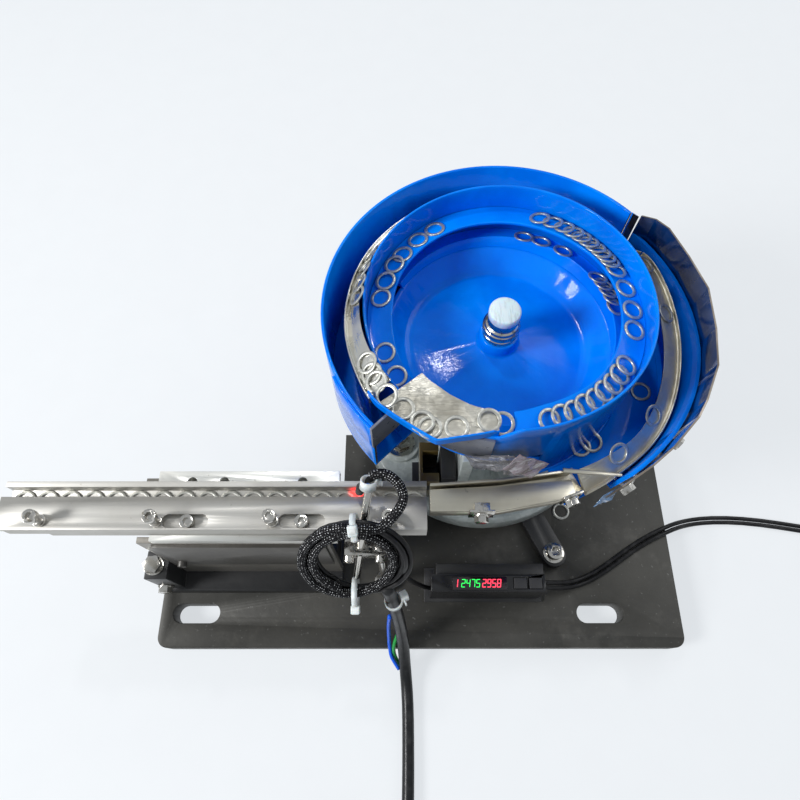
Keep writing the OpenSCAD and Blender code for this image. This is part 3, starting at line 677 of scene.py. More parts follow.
def follow(table, at):
    """A smooth value read from a table of (place, value) pairs."""
    if at <= table[0][0]:
        return table[0][1]
    if at >= table[-1][0]:
        return table[-1][1]
    i = max(k for k in range(len(table) - 1) if table[k][0] <= at)
    slope = [
        (table[min(k + 1, len(table) - 1)][1] - table[max(k - 1, 0)][1])
        / (table[min(k + 1, len(table) - 1)][0] - table[max(k - 1, 0)][0])
        for k in (i, i + 1)
    ]
    span = table[i + 1][0] - table[i][0]
    t = (at - table[i][0]) / span
    return (
        table[i][1] * (1 + 2 * t) * (1 - t) ** 2
        + span * slope[0] * t * (1 - t) ** 2
        + table[i + 1][1] * t * t * (3 - 2 * t)
        + span * slope[1] * t * t * (t - 1)
    )


def around(radius, height, degrees):
    a = math.radians(degrees)
    return (radius * math.cos(a), radius * math.sin(a), height)


def soften(made, width, segments=2, angle=35):
    """Eased edges, so that they catch the light."""
    edge = made.modifiers.new("eased edges", "BEVEL")
    edge.width = width * MM
    edge.segments = segments
    edge.limit_method = "ANGLE"
    edge.angle_limit = math.radians(angle)
    edge.harden_normals = True
    return made


# %% [markdown]
# ## The climbing track and the wall beside it
# Washers are shaken up the track clockwise, twice round: the lower turn starts at the floor and
# the upper turn ends at the bright transfer plate in front. The rim of the wall climbs with the
# track. Radius tables give the hand-made, slightly uneven round of the real bowl.

# %% Track and wall
rim_table = [(0, 73.2), (15, 73.6), (35, 74.3), (65, 76.4), (95, 77.5), (125, 77.5), (155, 76.2)]
rim_table += [(182, 74.6), (215, 74), (245, 74.1), (275, 73.7), (300, 74.8), (312, 76.5)]
inner_table = [(-360, 61), (-300, 64), (-270, 65.5), (-235, 65.5), (-198, 65), (-160, 63.5)]
inner_table += [(-138, 62.2), (-118, 60.8), (-60, 60), (0, 60.2), (35, 59.8), (65, 61.8)]
inner_table += [(95, 62.6), (125, 61.8), (160, 61), (185, 61.8), (225, 60), (260, 59)]
inner_table += [(290, 58.6), (303, 60.6), (312, 62)]
track_from = 215
turns_meet, lower_climb, upper_climb = 160, 16, 20
wall_foot, wall_foot_radius, wall_thick = 120.5, 73.3, 1.7
rim_rise, rim_stops, rim_step = 12, 306, 6
window_from, window_to, window_top = 290, 352, 150
low_rim = (74.0, 176.0)


def track_height(u):
    """Height of the track's inner edge after u degrees of travel."""
    climb = lower_climb if u < 0 else upper_climb
    return turns_meet + u * climb / 360


def rim_at(u):
    """Radius and height of the wall's rim, stepping down behind the transfer plate."""
    high = (follow(rim_table, u) - 0.4, track_height(u) + rim_rise)
    if u <= rim_stops:
        return high
    start = (follow(rim_table, rim_stops) - 0.4, track_height(rim_stops) + rim_rise)
    end = (follow(rim_table, 0) - 0.4, track_height(0) + rim_rise)
    if u < rim_stops + rim_step:
        t = (u - rim_stops) / rim_step
        return tuple(start[i] + (low_rim[i] - start[i]) * t for i in range(2))
    if u > 360 - rim_step:
        t = (u - 360 + rim_step) / rim_step
        return tuple(low_rim[i] + (end[i] - low_rim[i]) * t for i in range(2))
    return low_rim


def wall_place(corner, u):
    radius, top = rim_at(u)
    foot = window_top if window_from < u < window_to else wall_foot
    part = (foot - wall_foot) / (top - 3 - wall_foot)
    inside = wall_foot_radius + (radius - 0.2 - wall_foot_radius) * part
    profile = (
        (inside, foot),
        (radius - 0.2, top - 3),
        (radius, top - 0.5),
        (radius + 0.3, top),
        (radius + 1.1, top),
        (radius + 1.4, top - 0.5),
        (radius + 1.4, top - 3),
        (inside + wall_thick, foot),
    )
    return around(*profile[corner], track_from - u)


piece(
    "bowl_wall_coated",
    band(8, 0, 360, 180, wall_place, whole=True),
    "bowl",
    blue_coat,
    ["bowl_wall"],
)


def wall_inside(u, height):
    """Radius of the wall's inner face beside the track."""
    radius, top = rim_at(u % 360)
    part = (height - wall_foot) / (top - 3 - wall_foot)
    return wall_foot_radius + (radius - 0.2 - wall_foot_radius) * part


track_drop = 4.0


def track_place(underside):
    """Places the points of one turn; underside(inner, z) gives its lower corners."""

    def place(corner, u):
        z = track_height(u)
        inner = follow(inner_table, u)
        outer = wall_inside(u, z - 5) - 0.02
        profile = [(inner + 0.6, z - 0.1), (outer - 2.0, z - track_drop + 0.8)]
        profile += [(outer, z - track_drop + 0.9), (outer, z - 6.2)]
        profile += underside(inner, z) + [(inner, z - 0.6)]
        return around(*profile[corner], track_from - u)

    return place


def thin_edge(inner, z):
    return [(inner + 1.0, z - 2.6), (inner + 0.1, z - 2.0)]


def apron(inner, z):
    return [(inner + 1.6, z - 3.0), (65, 143.5), (63, 143.5)]


upper_band = band(7, 0, rim_stops, 153, track_place(thin_edge))
lower_band = band(8, -294, 0, 147, track_place(apron))
upper_track = piece("upper_track", upper_band, "bowl", blue_coat, ["bowl_track"])
lower_track = piece("lower_track", lower_band, "bowl", blue_coat)
for made in (upper_track, lower_track):
    soften(made, 0.25)
print("track climbs from", round(track_height(-294), 1), "to", round(track_height(306), 1), "mm")

# %% [markdown]
# ## Steel of the lanes
# The falling lane is bent from thin stainless sheet. On the left it is freshly polished, with
# streaks along the lane; on the right it is duller and brownish, rubbed by the washers. Both
# are metal with noise stretched along the lane, so the pattern uses a UV-free trick: distance
# from the bowl's axis is the fine direction, which a length of the flat place vector gives.

# %% Lane steel
def lane_finish(name, light, dark, smooth_from, smooth_to):
    made = Finish(name, Metallic=1.0)
    flat = made.vector("MULTIPLY", {0: made.place, 1: (1, 1, 0)})["Vector"]
    distance = made.vector("LENGTH", {0: flat})["Value"]
    rings = made.node("CombineXYZ", {"X": distance * 900.0})["Vector"]
    bent = made.vector("SCALE", {0: made.place, "Scale": 22.0})["Vector"]
    mixed = made.vector("ADD", {0: rings, 1: bent})["Vector"]
    streak = made.noise(1.0, 3, 0.6, mixed)
    stain = made.patches(55, 4, 0.35, 0.7)
    blot = made.patches(19, 3, 0.4, 0.62)
    tint = made.blend(stain * 0.7 + streak * 0.3, light, dark)
    made.set(
        Base_Color=made.blend(blot * 0.5, tint, light),
        Roughness=made.between(streak * 0.5 + stain * 0.5, 0.2, 0.8) * (smooth_to - smooth_from)
        + smooth_from,
    )
    made.relief(streak * 0.5 + made.noise(48, 2) * 2.0 + made.noise(15, 2) * 5.0, 0.0009, 0.6)
    return made.material


polished = lane_finish("polished_lane", rgb(0.86, 0.85, 0.8), rgb(0.5, 0.47, 0.4), 0.16, 0.4)
worn = lane_finish("worn_lane", rgb(0.74, 0.70, 0.58), rgb(0.42, 0.385, 0.31), 0.42, 0.62)

# %% Falling lane
lip_table = [(-70, 97.5), (-52, 98.9), (-35, 101.7), (-10, 102.6), (5, 103.8), (18, 105.5)]
lip_table += [(27, 106.4), (31.6, 105), (38, 95), (44.5, 94.9), (60, 94.3), (90, 92.5)]
lip_table += [(117, 89), (130, 86.5), (150, 84.8), (170, 84.2), (185, 85), (205, 87), (220, 90)]
lane_table = [(-70, 84.5), (-55, 87.6), (-38, 91.8), (0, 91.8), (31, 94.6), (38, 86.6)]
lane_table += [(44, 86.2), (60, 83.5), (90, 81), (117, 79.6), (150, 78.4), (180, 77)]
lane_table += [(205, 76.4), (220, 76)]
lane_rise, lane_depth, lane_top, lane_fall = 5.0, 4.5, 177.5, 0.16


def lane_height(degrees):
    return lane_top - lane_fall * (220 - degrees)


def lane_place(corner, degrees):
    outer, inner = follow(lip_table, degrees), follow(lane_table, degrees)
    z = lane_height(degrees)
    profile = (
        (inner, z + lane_rise),
        (outer - 1.6, z - 1.2),
        (outer - 1.0, z - 0.9),
        (outer - 0.7, z + 0.8),
        (outer - 0.3, z + 1.0),
        (outer + 0.2, z + 0.7),
        (outer + 0.2, z - lane_depth),
        (outer - 2.6, z - lane_depth),
        (inner, z + lane_rise - 1.6),
    )
    return around(*profile[corner], degrees)


lane_left = piece(
    "lane_left_polished",
    band(9, 32, 218, 124, lane_place),
    "bowl",
    polished,
    ["lane_left"],
)
lane_right = piece(
    "lane_right_worn",
    band(9, -64.4, 31.6, 64, lane_place),
    "bowl",
    worn,
    ["lane_right"],
)
for made in (lane_left, lane_right):
    soften(made, 0.15, 1)


def skirt_place(corner, degrees):
    outer, z = follow(lip_table, degrees), lane_height(degrees)
    profile = (
        (outer - 2.9, wall_foot),
        (outer - 2.9, z - lane_depth),
        (outer - 1.7, z - lane_depth),
        (outer - 1.7, wall_foot),
    )
    return around(*profile[corner], degrees)


piece("lane_skirt_coated", band(4, -50, 214, 132, skirt_place), "bowl", blue_coat)

# %% [markdown]
# ## The transfer plate and its lip
# In front, the washers cross from the end of the track to the head of the falling lane over a
# ground steel plate. A thin blue strip is glued along its outer edge so that none drops off.
# The strip is one bent line, pulled up and given a thickness.

# %% Transfer plate
plate_edge = [(-9, -73), (-18, -74.9), (-28, -76.4), (-37.2, -77.8), (-40.9, -76.8)]
plate_edge += [(-51, -70.4), (-60.4, -63.8), (-67.2, -58.2), (-71.4, -52.6)]
plate_back = [(-55.4, -49.2), (-44.9, -41), (-41.1, -45.1), (-36.3, -48.9), (-31.6, -52.7)]
plate_back += [(-26.9, -55.4), (-22.2, -58), (-17.5, -59.6), (-9.5, -61.6)]
plate_top = 178.0


def flat_shape(outline, low, high):
    """A bmesh slab between two heights, over an outline in millimetres."""
    shape = bmesh.new()
    face = shape.faces.new([shape.verts.new((x * MM, y * MM, low * MM)) for x, y in outline])
    raised = bmesh.ops.extrude_face_region(shape, geom=[face])["geom"]
    tops = [element for element in raised if isinstance(element, bmesh.types.BMVert)]
    bmesh.ops.translate(shape, vec=(0, 0, (high - low) * MM), verts=tops)
    face_out(shape)
    return shape


def ground_steel():
    made = Finish("ground_steel", Metallic=1.0)
    streaks = made.noise(1.0, 3, 0.65, made.stretched((70, 900, 70), (0, 0, math.radians(38))))
    cloud = made.patches(60, 4, 0.3, 0.7)
    bright, dull = rgb(0.68, 0.66, 0.59), rgb(0.22, 0.205, 0.165)
    made.set(
        Base_Color=made.blend(cloud * 0.6 + streaks * 0.3, bright, dull),
        Roughness=streaks * 0.3 + cloud * 0.15 + 0.16,
    )
    made.relief(streaks + made.noise(45, 2) * 5.0 + made.noise(140, 2) * 1.5, 0.0007, 0.55)
    return made.material


ground = ground_steel()
transfer = piece(
    "transfer_plate_ground",
    flat_shape(plate_back + plate_edge[:-1], 176.2, plate_top),
    "bowl",
    ground,
    ["transfer_plate"],
    False,
)
soften(transfer, 0.3)


lip_low, lip_high, lip_dip, lip_thick = 175.6, 181.4, 1.6, 1.0
lip = bmesh.new()
lip_line = smooth_line([(x, y, 0) for x, y in plate_edge], 5)
feet = [lip.verts.new((spot.x * MM, spot.y * MM, lip_low * MM)) for spot in lip_line]
edges = [lip.edges.new(pair) for pair in zip(feet, feet[1:])]
raised = bmesh.ops.extrude_edge_only(lip, edges=edges)["geom"]
for vert in raised:
    if isinstance(vert, bmesh.types.BMVert):
        at = min(range(len(lip_line)), key=lambda i: (lip_line[i].xy * MM - vert.co.xy).length)
        first_bit = at / (len(lip_line) - 1) < 0.05
        vert.co.z = (lip_high - lip_dip * first_bit) * MM
face_out(lip)
bmesh.ops.solidify(lip, geom=lip.faces, thickness=lip_thick * MM)
face_out(lip)
soften(
    piece("lip_of_transfer_plate", lip, "bowl", blue_coat, ["lane_skirt"]),
    min(0.3, lip_thick * 0.35),
)

# %% [markdown]
# ## The guard on the right
# A long strip of thin sheet, cut by hand and bent to flats, is screwed round the right side. It
# is coated blue inside and bare outside, and old clear tape has left pale streaks on it. One
# mesh carries both finishes: after the spin, faces that look outwards get the bare steel.

# %% Guard
guard_angles = (39, 35, 30, 20, 8, -4, -16, -27, -33, -44, -52, -62)
guard_low, guard_high, guard_foot = 139.0, 166.0, 110.15
guard_lean, guard_thick = 1.85 / 27, 0.95
squeeze_table = [(-62, -5.5), (-52, -5.5), (-44, -4.6), (-33, -2.9), (-16, -0.8), (-5, 0)]
squeeze_table += [(30, 0), (35, 0), (39, -2.8)]
guard_top_table = [(0, 1.0), (1, 3.0), (2, 1.8), (3, 0.2), (4, 1.4), (5, -1.4), (6, 0.6)]
guard_top_table += [(7, -0.4), (8, 0.5), (9, -1.0), (10, -0.6), (11, -3.5)]


def guard_place(corner, turned):
    number = round(turned * 11 / 110)
    top = min(guard_high + guard_top_table[number][1], guard_high + 3)
    top -= 3 * (number < 2)
    foot = guard_foot + follow(squeeze_table, guard_angles[number])
    flare = guard_lean * (top - guard_low)
    profile = (
        (foot, guard_low),
        (foot + flare, top),
        (foot + flare + guard_thick, top),
        (foot + guard_thick, guard_low),
    )
    return around(*profile[corner], guard_angles[number])


def guard_inside():
    made = Finish("guard_coating", Specular_IOR_Level=0.6, Coat_Weight=0.5, Coat_Roughness=0.06)
    tape = made.noise(1.0, 4, 0.7, made.stretched((60, 60, 9)))
    streak = made.between(tape, 0.60, 0.72)
    cloud = made.patches(26, 3, 0.35, 0.65)
    deep = made.blend(cloud, rgb(0.0, 0.018, 0.085), rgb(0.0, 0.05, 0.21))
    made.set(
        Base_Color=made.blend(streak * 0.55, deep, rgb(0.34, 0.36, 0.42)),
        Roughness=0.14 + streak * 0.3,
    )
    made.relief(tape + made.noise(70, 3) * 0.6, 0.0007, 0.6)
    return made.material


coated_inside = guard_inside()
bare_outside = mottled(
    "bare_sheet",
    rgb(0.30, 0.26, 0.22),
    rgb(0.17, 0.145, 0.12),
    (45, 4, 0.3, 0.7),
    (80, 3, 0.0004, 0.5),
    (0.35, 0.25),
    Metallic=0.85,
)
guard_shape = band(4, 0, 110, 11, guard_place)
for face in guard_shape.faces:
    middle = face.calc_center_median()
    outward = face.normal.xy.dot(middle.xy.normalized())
    face.material_index = 0 if outward < -0.5 else 1
piece(
    "guard_sheet",
    guard_shape,
    "bowl",
    [coated_inside, bare_outside],
    ["guard"],
    False,
)
print("guard flats:", len(guard_angles) - 1)

# %% [markdown]
# ## Washers
# The parts being fed: thin rings stamped from steel, 12 mm across, dull grey with brighter
# rubbed edges. One washer is spun from a small profile with eased corners, kept as a mesh, and
# stamped into a group at every place by a matrix. The places follow from the track and the
# lane: each washer's edge rests against the wall or the lip.

# %% One washer and a group of them
washer_radius, washer_hole, washer_thick = 6.0, 4.3, 0.8
washer_parts = 28


def washer_finish(name, glow=0.0):
    light, rubbed = rgb(0.52, 0.52, 0.48), rgb(0.36, 0.36, 0.33)
    rub, grain = (700, 3, 0.35, 0.7), (1200, 2, 0.00008, 0.4)
    return mottled(name, light, rubbed, rub, grain, (0.34, 0.16), glow, Metallic=0.75)


washer_grey = washer_finish("washer_steel")
washer_sensed = washer_finish("washer_in_red_light", 2.5)


def one_washer():
    shape = bmesh.new()
    h = washer_thick / 2
    ease = 0.15
    corners = [(washer_hole, -h), (washer_radius - ease, -h), (washer_radius, -h + ease)]
    corners += [(washer_radius, h - ease), (washer_radius - ease, h), (washer_hole + ease, h)]
    corners += [(washer_hole, h - ease)]
    spun(shape, [(x * MM, z * MM) for x, z in corners], 360, washer_parts)
    face_out(shape)
    mesh = bpy.data.meshes.new("washer_pattern")
    shape.to_mesh(mesh)
    shape.free()
    return mesh


washer_mesh = one_washer()


def washers(name, places, body, nodes, finish=washer_grey):
    """A group of washers, one for each matrix in millimetres."""
    shape = bmesh.new()
    for place in places:
        first = len(shape.verts)
        shape.from_mesh(washer_mesh)
        shape.verts.ensure_lookup_table()
        scaled = Matrix.Translation(place.translation * MM) @ place.to_3x3().to_4x4()
        bmesh.ops.transform(shape, matrix=scaled, verts=shape.verts[first:])
    made = piece(name, shape, body, finish, nodes)
    return soften(made, 0.05, 1, 60)


def lying(x, y, z, tilt=0.0, lean=0.0, turned=0.0):
    """Place of a washer: tilt is its fall away from the axis and lean along the lane."""
    return (
        Matrix.Translation((x, y, z))
        @ Matrix.Rotation(math.radians(turned), 4, "Z")
        @ Matrix.Rotation(math.radians(tilt), 4, "Y")
        @ Matrix.Rotation(math.radians(lean), 4, "X")
    )


def on_track(degrees, lift=0.0, lean=0.0, lower=False, inward=0.0):
    u = track_from - degrees - (360 if lower else 0)
    inner, z = follow(inner_table, u), track_height(u)
    outer = wall_inside(u, z - 5)
    tilt = math.degrees(math.atan(track_drop / (outer - inner)))
    r = outer - washer_radius * math.cos(math.radians(tilt)) - 0.6 - inward
    fall = (z - track_drop * (r - inner) / (outer - inner)) + 0.5 + lift
    return lying(*around(r, fall, degrees), tilt, lean - 2.7, degrees)


def in_lane(degrees, lift=0.0, inward=0.0, extra=0.0):
    inner, outer = follow(lane_table, degrees), follow(lip_table, degrees) - 1.2
    drop = lane_rise + 1.2
    tilt = math.degrees(math.atan(drop / (outer - inner))) + extra
    r = outer - washer_radius * math.cos(math.radians(tilt)) - 0.5 - inward
    z = lane_height(degrees) - 1.2 + drop * (outer - r) / (outer - inner) + 0.55 + lift
    return lying(*around(r, z, degrees), tilt, 6.2, degrees)


# %% Washers in the bowl
places = [on_track(angle) for angle in (121, 131, 142, 168, 197, 210, 12, 0, -11)]
places += [on_track(149, 0.7, -6), on_track(159, 0.8, -5), on_track(-96)]
places += [on_track(angle, 1.0, -11) for angle in (69, 62.5, 56.5, 51.5, 47, 42.5, 38.2, 34.4)]
places += [on_track(31.2, 1.2, -11), on_track(28, 1.0, -10), on_track(22.6, 0.8, -6)]
places += [on_track(-31 - 5.7 * i, 1.1, -11.5, False, 0.4 * (i % 2)) for i in range(9)]
places += [on_track(angle, 0, 0, True) for angle in (74, 65, 53, 12)]
places += [on_track(30 - 4.5 * i, 1.0, -10, True) for i in range(4)]
places += [in_lane(angle, 0, 0, extra) for angle, extra in ((175, 4), (169, 6), (162, 8))]
places += [in_lane(angle, lift) for angle, lift in ((211, 0), (215, 0.9), (206.4, 0.5))]
places += [in_lane(158, 0.2, -0.6, 12), in_lane(152, 0.3, -0.8, 16), in_lane(221.5, 1.4)]
places += [in_lane(8), in_lane(34, 0.2, -0.4), in_lane(27, 0.4), in_lane(-31, 0, 1.6, 0)]
places += [in_lane(-49, 0, 1.4)]
for x, y, lift in ((-29.1, -70.0, 0.0), (-41.7, -70.2, 0.0), (-45.2, -67.6, 0.9)):
    places.append(lying(x, y, plate_top + 0.45 + lift, 0, 0))
places += [lying(-54.3, -60.5, plate_top + 0.5), lying(-13.6, -66.6, plate_top + 0.7, 5, 8)]
for x, y in ((45.2, -58.3), (51.7, -55.9), (84.5, -24.1), (84.5, 4.5), (67.2, -75.3)):
    places.append(lying(x, y, wall_foot + 0.5 + 0.9 * (x == 51.7), 0, 7 * (x == 51.7)))
washers("washers_in_bowl", places, "bowl", ["bowl_washers"])
print("washers in the bowl:", len(places))

# %% Washers in the rail
rail_end = -41.9
groove_floor = 129.0
row = [lying(rail_end - 6.6 - 12.05 * i, -92.15, groove_floor + 0.46) for i in range(18)]
row[2] = row[2] @ Matrix.Rotation(math.radians(2), 4, "Y")
washers("washers_in_rail", row, "rail", ["rail_washers"], washer_sensed)
washers("stray_washer_on_plate", [lying(57.6, -67.4, 15.45)], "base", ["stray_washer"])

# %% [markdown]
# ## Crumpled film
# Clear protective film still clings under the transfer plate. It is a sheet with creases; cloth
# simulation would need an age to crumple it, so a fine grid is pushed about by folded noise,
# which gives straight creases rather than soft waves, and the shader stays half clear.

# %% Film
def film_finish(name, tint, clear):
    made = Finish(name, Roughness=0.16, Specular_IOR_Level=0.7, Coat_Weight=0.6)
    crease = made.noise(1.0, 4, 0.7, made.stretched((90, 90, 260), (0, 0.5, 0.2)))
    # The pale, more opaque streaks along the creases are painted highlights of the shiny film.
    bright = made.between(crease, 0.52, 0.7)
    made.set(
        Base_Color=made.blend(bright, tint, rgb(0.60, 0.60, 0.63)),
        Alpha=bright * 0.3 + clear,
        Roughness=0.1 + bright * 0.2,
    )
    made.relief(crease + made.noise(380, 3) * 0.5, 0.0012, 0.8)
    return made.material


def film(name, corner, along, up, cells, depth, finish, seed):
    """A crumpled sheet from a corner along two edges, in millimetres."""
    shape = bmesh.new()
    bmesh.ops.create_grid(shape, x_segments=cells[0], y_segments=cells[1], size=0.5)
    corner, along, up = Vector(corner), Vector(along), Vector(up)
    across = along.cross(up).normalized()
    for vert in shape.verts:
        i, k = vert.co.x + 0.5, vert.co.y + 0.5
        spot = corner + along * i + up * k
        fold = abs(noise.noise(spot * 0.11 + Vector((seed, 0, 0)))) * 2.4
        fold += abs(noise.noise(spot * 0.31 + Vector((0, seed, 0)))) * 1.0
        ragged = noise.noise(spot * 0.2 + Vector((0, 0, seed)))
        spot += across * (fold * depth) + up.normalized() * ragged * 1.2 * (k > 0.95)
        vert.co = spot * MM
    bmesh.ops.solidify(shape, geom=shape.faces, thickness=0.12 * MM)
    face_out(shape)
    return piece(name, shape, "bowl", finish, ["film"] if seed == 3 else [])


grey_film = film_finish("grey_film", rgb(0.17, 0.17, 0.20), 0.6)
pink_film = film_finish("pinkish_film", rgb(0.30, 0.22, 0.26), 0.72)
blue_film = film_finish("bluish_film", rgb(0.16, 0.30, 0.52), 0.55)
# name, corner, along, up, cells, depth of the folds, finish, seed
films = [
    ("under_plate", (-24, -75, 157), (24, -3.4, 7), (7, -3, -16), (60, 26), -0.8, grey_film, 3),
    ("fold_middle", (-5, -78.8, 158), (13, 0.4, -3), (2, -3, -15), (40, 20), -0.7, grey_film, 5),
    ("fold_right", (2, -78.9, 166), (18, 1.7, -18), (-8, -4.5, -9), (40, 22), -0.5, pink_film, 8),
    ("on_guard_end", (48, -92, 139.5), (9, 3, 2), (-4, -4.6, -5), (26, 18), 0.8, blue_film, 11),
]
for name, *how in films:
    film(f"film_{name}", *how)
print("films:", len(films))

# %% [markdown]
# ## Finishes of the solid parts
# The plates, castings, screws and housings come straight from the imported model. Their shapes
# are right, but their edges are knife sharp, and a real edge always carries a thin line of
# light. So each is copied, its loose triangles are merged to clean faces, and a bevel eases
# every edge. The copy then stands for the node.


# %% Machined and painted finishes
def blackened_plate():
    made = Finish("blackened_plate", Metallic=0.25, Specular_IOR_Level=0.4)
    cloud = made.patches(11, 5, 0.34, 0.68, 0.62)
    patch = made.patches(34, 4, 0.5, 0.72, 0.7)
    speck = made.patches(420, 3, 0.66, 0.74)
    base = made.blend(cloud, rgb(0.038, 0.037, 0.033), rgb(0.064, 0.062, 0.055))
    worn_spot = made.blend(patch * 0.55, base, rgb(0.092, 0.088, 0.078))
    made.set(
        Base_Color=made.blend(speck * 0.5, worn_spot, rgb(0.2, 0.2, 0.19)),
        Roughness=0.52 - patch * 0.14,
    )
    made.relief(made.noise(260, 4) + cloud, 0.0003, 0.35)
    return made.material


def brushed_steel(name, light, dark, along, rough=0.3, glow=0.0):
    made = Finish(name, Metallic=1.0)
    if glow:
        made.red_light(glow)
    lines = made.noise(1.0, 3, 0.6, made.stretched(along))
    stain = made.patches(24, 4, 0.35, 0.7)
    spot = made.patches(300, 3, 0.68, 0.76)
    tint = made.blend(stain * 0.55 + lines * 0.35, light, dark)
    made.set(
        Base_Color=made.blend(spot * 0.6, tint, rgb(0.3, 0.28, 0.24)),
        Roughness=lines * 0.16 + stain * 0.1 + rough,
    )
    made.relief(lines + made.noise(30, 2) * 0.5, 0.0001, 0.4)
    return made.material


def bright_metal(name, grime_share, depth):
    made = Finish(name, Metallic=1.0)
    grime = made.patches(260, 4, 0.5, 0.72) * grime_share
    made.set(
        Base_Color=made.blend(grime, rgb(0.58, 0.56, 0.52), rgb(0.14, 0.13, 0.105)),
        Roughness=0.18 + grime * 0.3,
    )
    made.relief(made.noise(600, 2), depth, 0.4)
    return made.material


def hammered_casting():
    made = Finish("hammered_grey", Specular_IOR_Level=0.6, Coat_Weight=0.3, Coat_Roughness=0.1)
    dimple = made.patches(190, 2, 0.42, 0.6)
    smear = made.patches(24, 4, 0.4, 0.75)
    tint = made.blend(dimple, rgb(0.50, 0.55, 0.53), rgb(0.62, 0.67, 0.65))
    made.set(Base_Color=made.blend(smear * 0.5, tint, rgb(0.24, 0.26, 0.25)), Roughness=0.34)
    made.relief(dimple, 0.0004, 0.5)
    return made.material


def dull_paint(name, colour, other, rough=0.45, metal=0.0):
    made = Finish(name, Metallic=metal)
    cloud = made.patches(42, 4, 0.35, 0.7)
    rub = made.patches(230, 4, 0.6, 0.75)
    made.set(
        Base_Color=made.blend(cloud * 0.7 + rub * 0.3, colour, other),
        Roughness=rough - rub * 0.12,
    )
    made.relief(made.noise(330, 3), 0.00018, 0.45)
    return made.material


def coil_wrap():
    made = Finish("coil_wrap", Roughness=0.3, Coat_Weight=0.6)
    split = made.node("SeparateXYZ", {"Vector": made.place})
    winds = split["Z"] * 2600.0
    wire = winds.sum("SINE", winds) * 0.5 + 0.5
    band_high = made.between(split["Z"], 0.0685, 0.0692) - made.between(split["Z"], 0.0785, 0.079)
    # Each turn goes from amber on its crest to near black between turns: the amber is the copper's
    # own colour, and the near black is painted shade in the grooves.
    amber_and_painted_shade = made.blend(wire, rgb(0.02, 0.014, 0.006), rgb(0.18, 0.125, 0.03))
    made.set(Base_Color=made.blend(band_high, amber_and_painted_shade, rgb(0.02, 0.018, 0.015)))
    made.relief(wire, 0.0003, 0.7)
    return made.material


def whitish_cap():
    made = Finish("frosted_cap", Roughness=0.32, Subsurface_Weight=0.4, Coat_Weight=0.3)
    scratch = made.between(made.noise(1.0, 4, 0.6, made.stretched((500, 90, 200))), 0.45, 0.7)
    made.set(Base_Color=made.blend(scratch, rgb(0.70, 0.72, 0.76), rgb(0.5, 0.52, 0.57)))
    made.relief(scratch, 0.0002, 0.5)
    return made.material


plate_black = blackened_plate()
rail_steel = brushed_steel(
    "rail_steel", rgb(0.52, 0.51, 0.48), rgb(0.39, 0.375, 0.345), (25, 700, 700), 0.4, 1.1
)
top_steel = brushed_steel(
    "top_steel", rgb(0.80, 0.80, 0.76), rgb(0.62, 0.61, 0.57), (25, 700, 700)
)
exit_steel = brushed_steel(
    "exit_steel", rgb(0.68, 0.645, 0.54), rgb(0.40, 0.365, 0.295), (30, 500, 500), 0.22
)
screws = bright_metal("bright_screws", 1.0, 0.0001)
chrome = bright_metal("smooth_chrome", 0.12, 0.00001)
casting = hammered_casting()
drive_black = dull_paint("drive_black", rgb(0.014, 0.014, 0.015), rgb(0.03, 0.03, 0.03), 0.4)
rubber = dull_paint("foot_rubber", rgb(0.012, 0.012, 0.012), rgb(0.022, 0.021, 0.02), 0.7)
side_grey = dull_paint("side_plate_grey", rgb(0.17, 0.16, 0.14), rgb(0.25, 0.235, 0.21), 0.42, 0.4)
cover_dark = dull_paint("cover_dark", rgb(0.062, 0.058, 0.052), rgb(0.09, 0.085, 0.075), 0.4, 0.2)
spring_grey = dull_paint("spring_steel", rgb(0.24, 0.23, 0.21), rgb(0.34, 0.33, 0.3), 0.32, 0.85)
amp_black = dull_paint("amplifier_black", rgb(0.010, 0.010, 0.011), rgb(0.018, 0.018, 0.02), 0.3)
button_black = dull_paint("button_black", rgb(0.022, 0.022, 0.024), rgb(0.03, 0.03, 0.033), 0.5)
grey_band = dull_paint("grey_band", rgb(0.12, 0.13, 0.165), rgb(0.19, 0.20, 0.24), 0.3, 0.2)
dark_panel = dull_paint("dark_panel", rgb(0.020, 0.016, 0.014), rgb(0.045, 0.038, 0.034), 0.28)
coil_amber = coil_wrap()
frosted = whitish_cap()
print("materials:", len(bpy.data.materials))


# %% Eased copies of the solids
def eased(node, finish, width):
    """A copy of a node with merged faces and eased edges, which stands for the node."""
    shape = bmesh.new()
    shape.from_mesh(frame["nodes"][node].data)
    bmesh.ops.remove_doubles(shape, verts=shape.verts, dist=0.000004)
    bmesh.ops.dissolve_limit(
        shape,
        angle_limit=math.radians(1.0),
        verts=shape.verts,
        edges=shape.edges,
        use_dissolve_boundaries=False,
    )
    body = frame["nodes"][node]["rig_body"]
    made = piece(f"{node}_finished", shape, body, finish, [node])
    return soften(made, width, 2, 32)


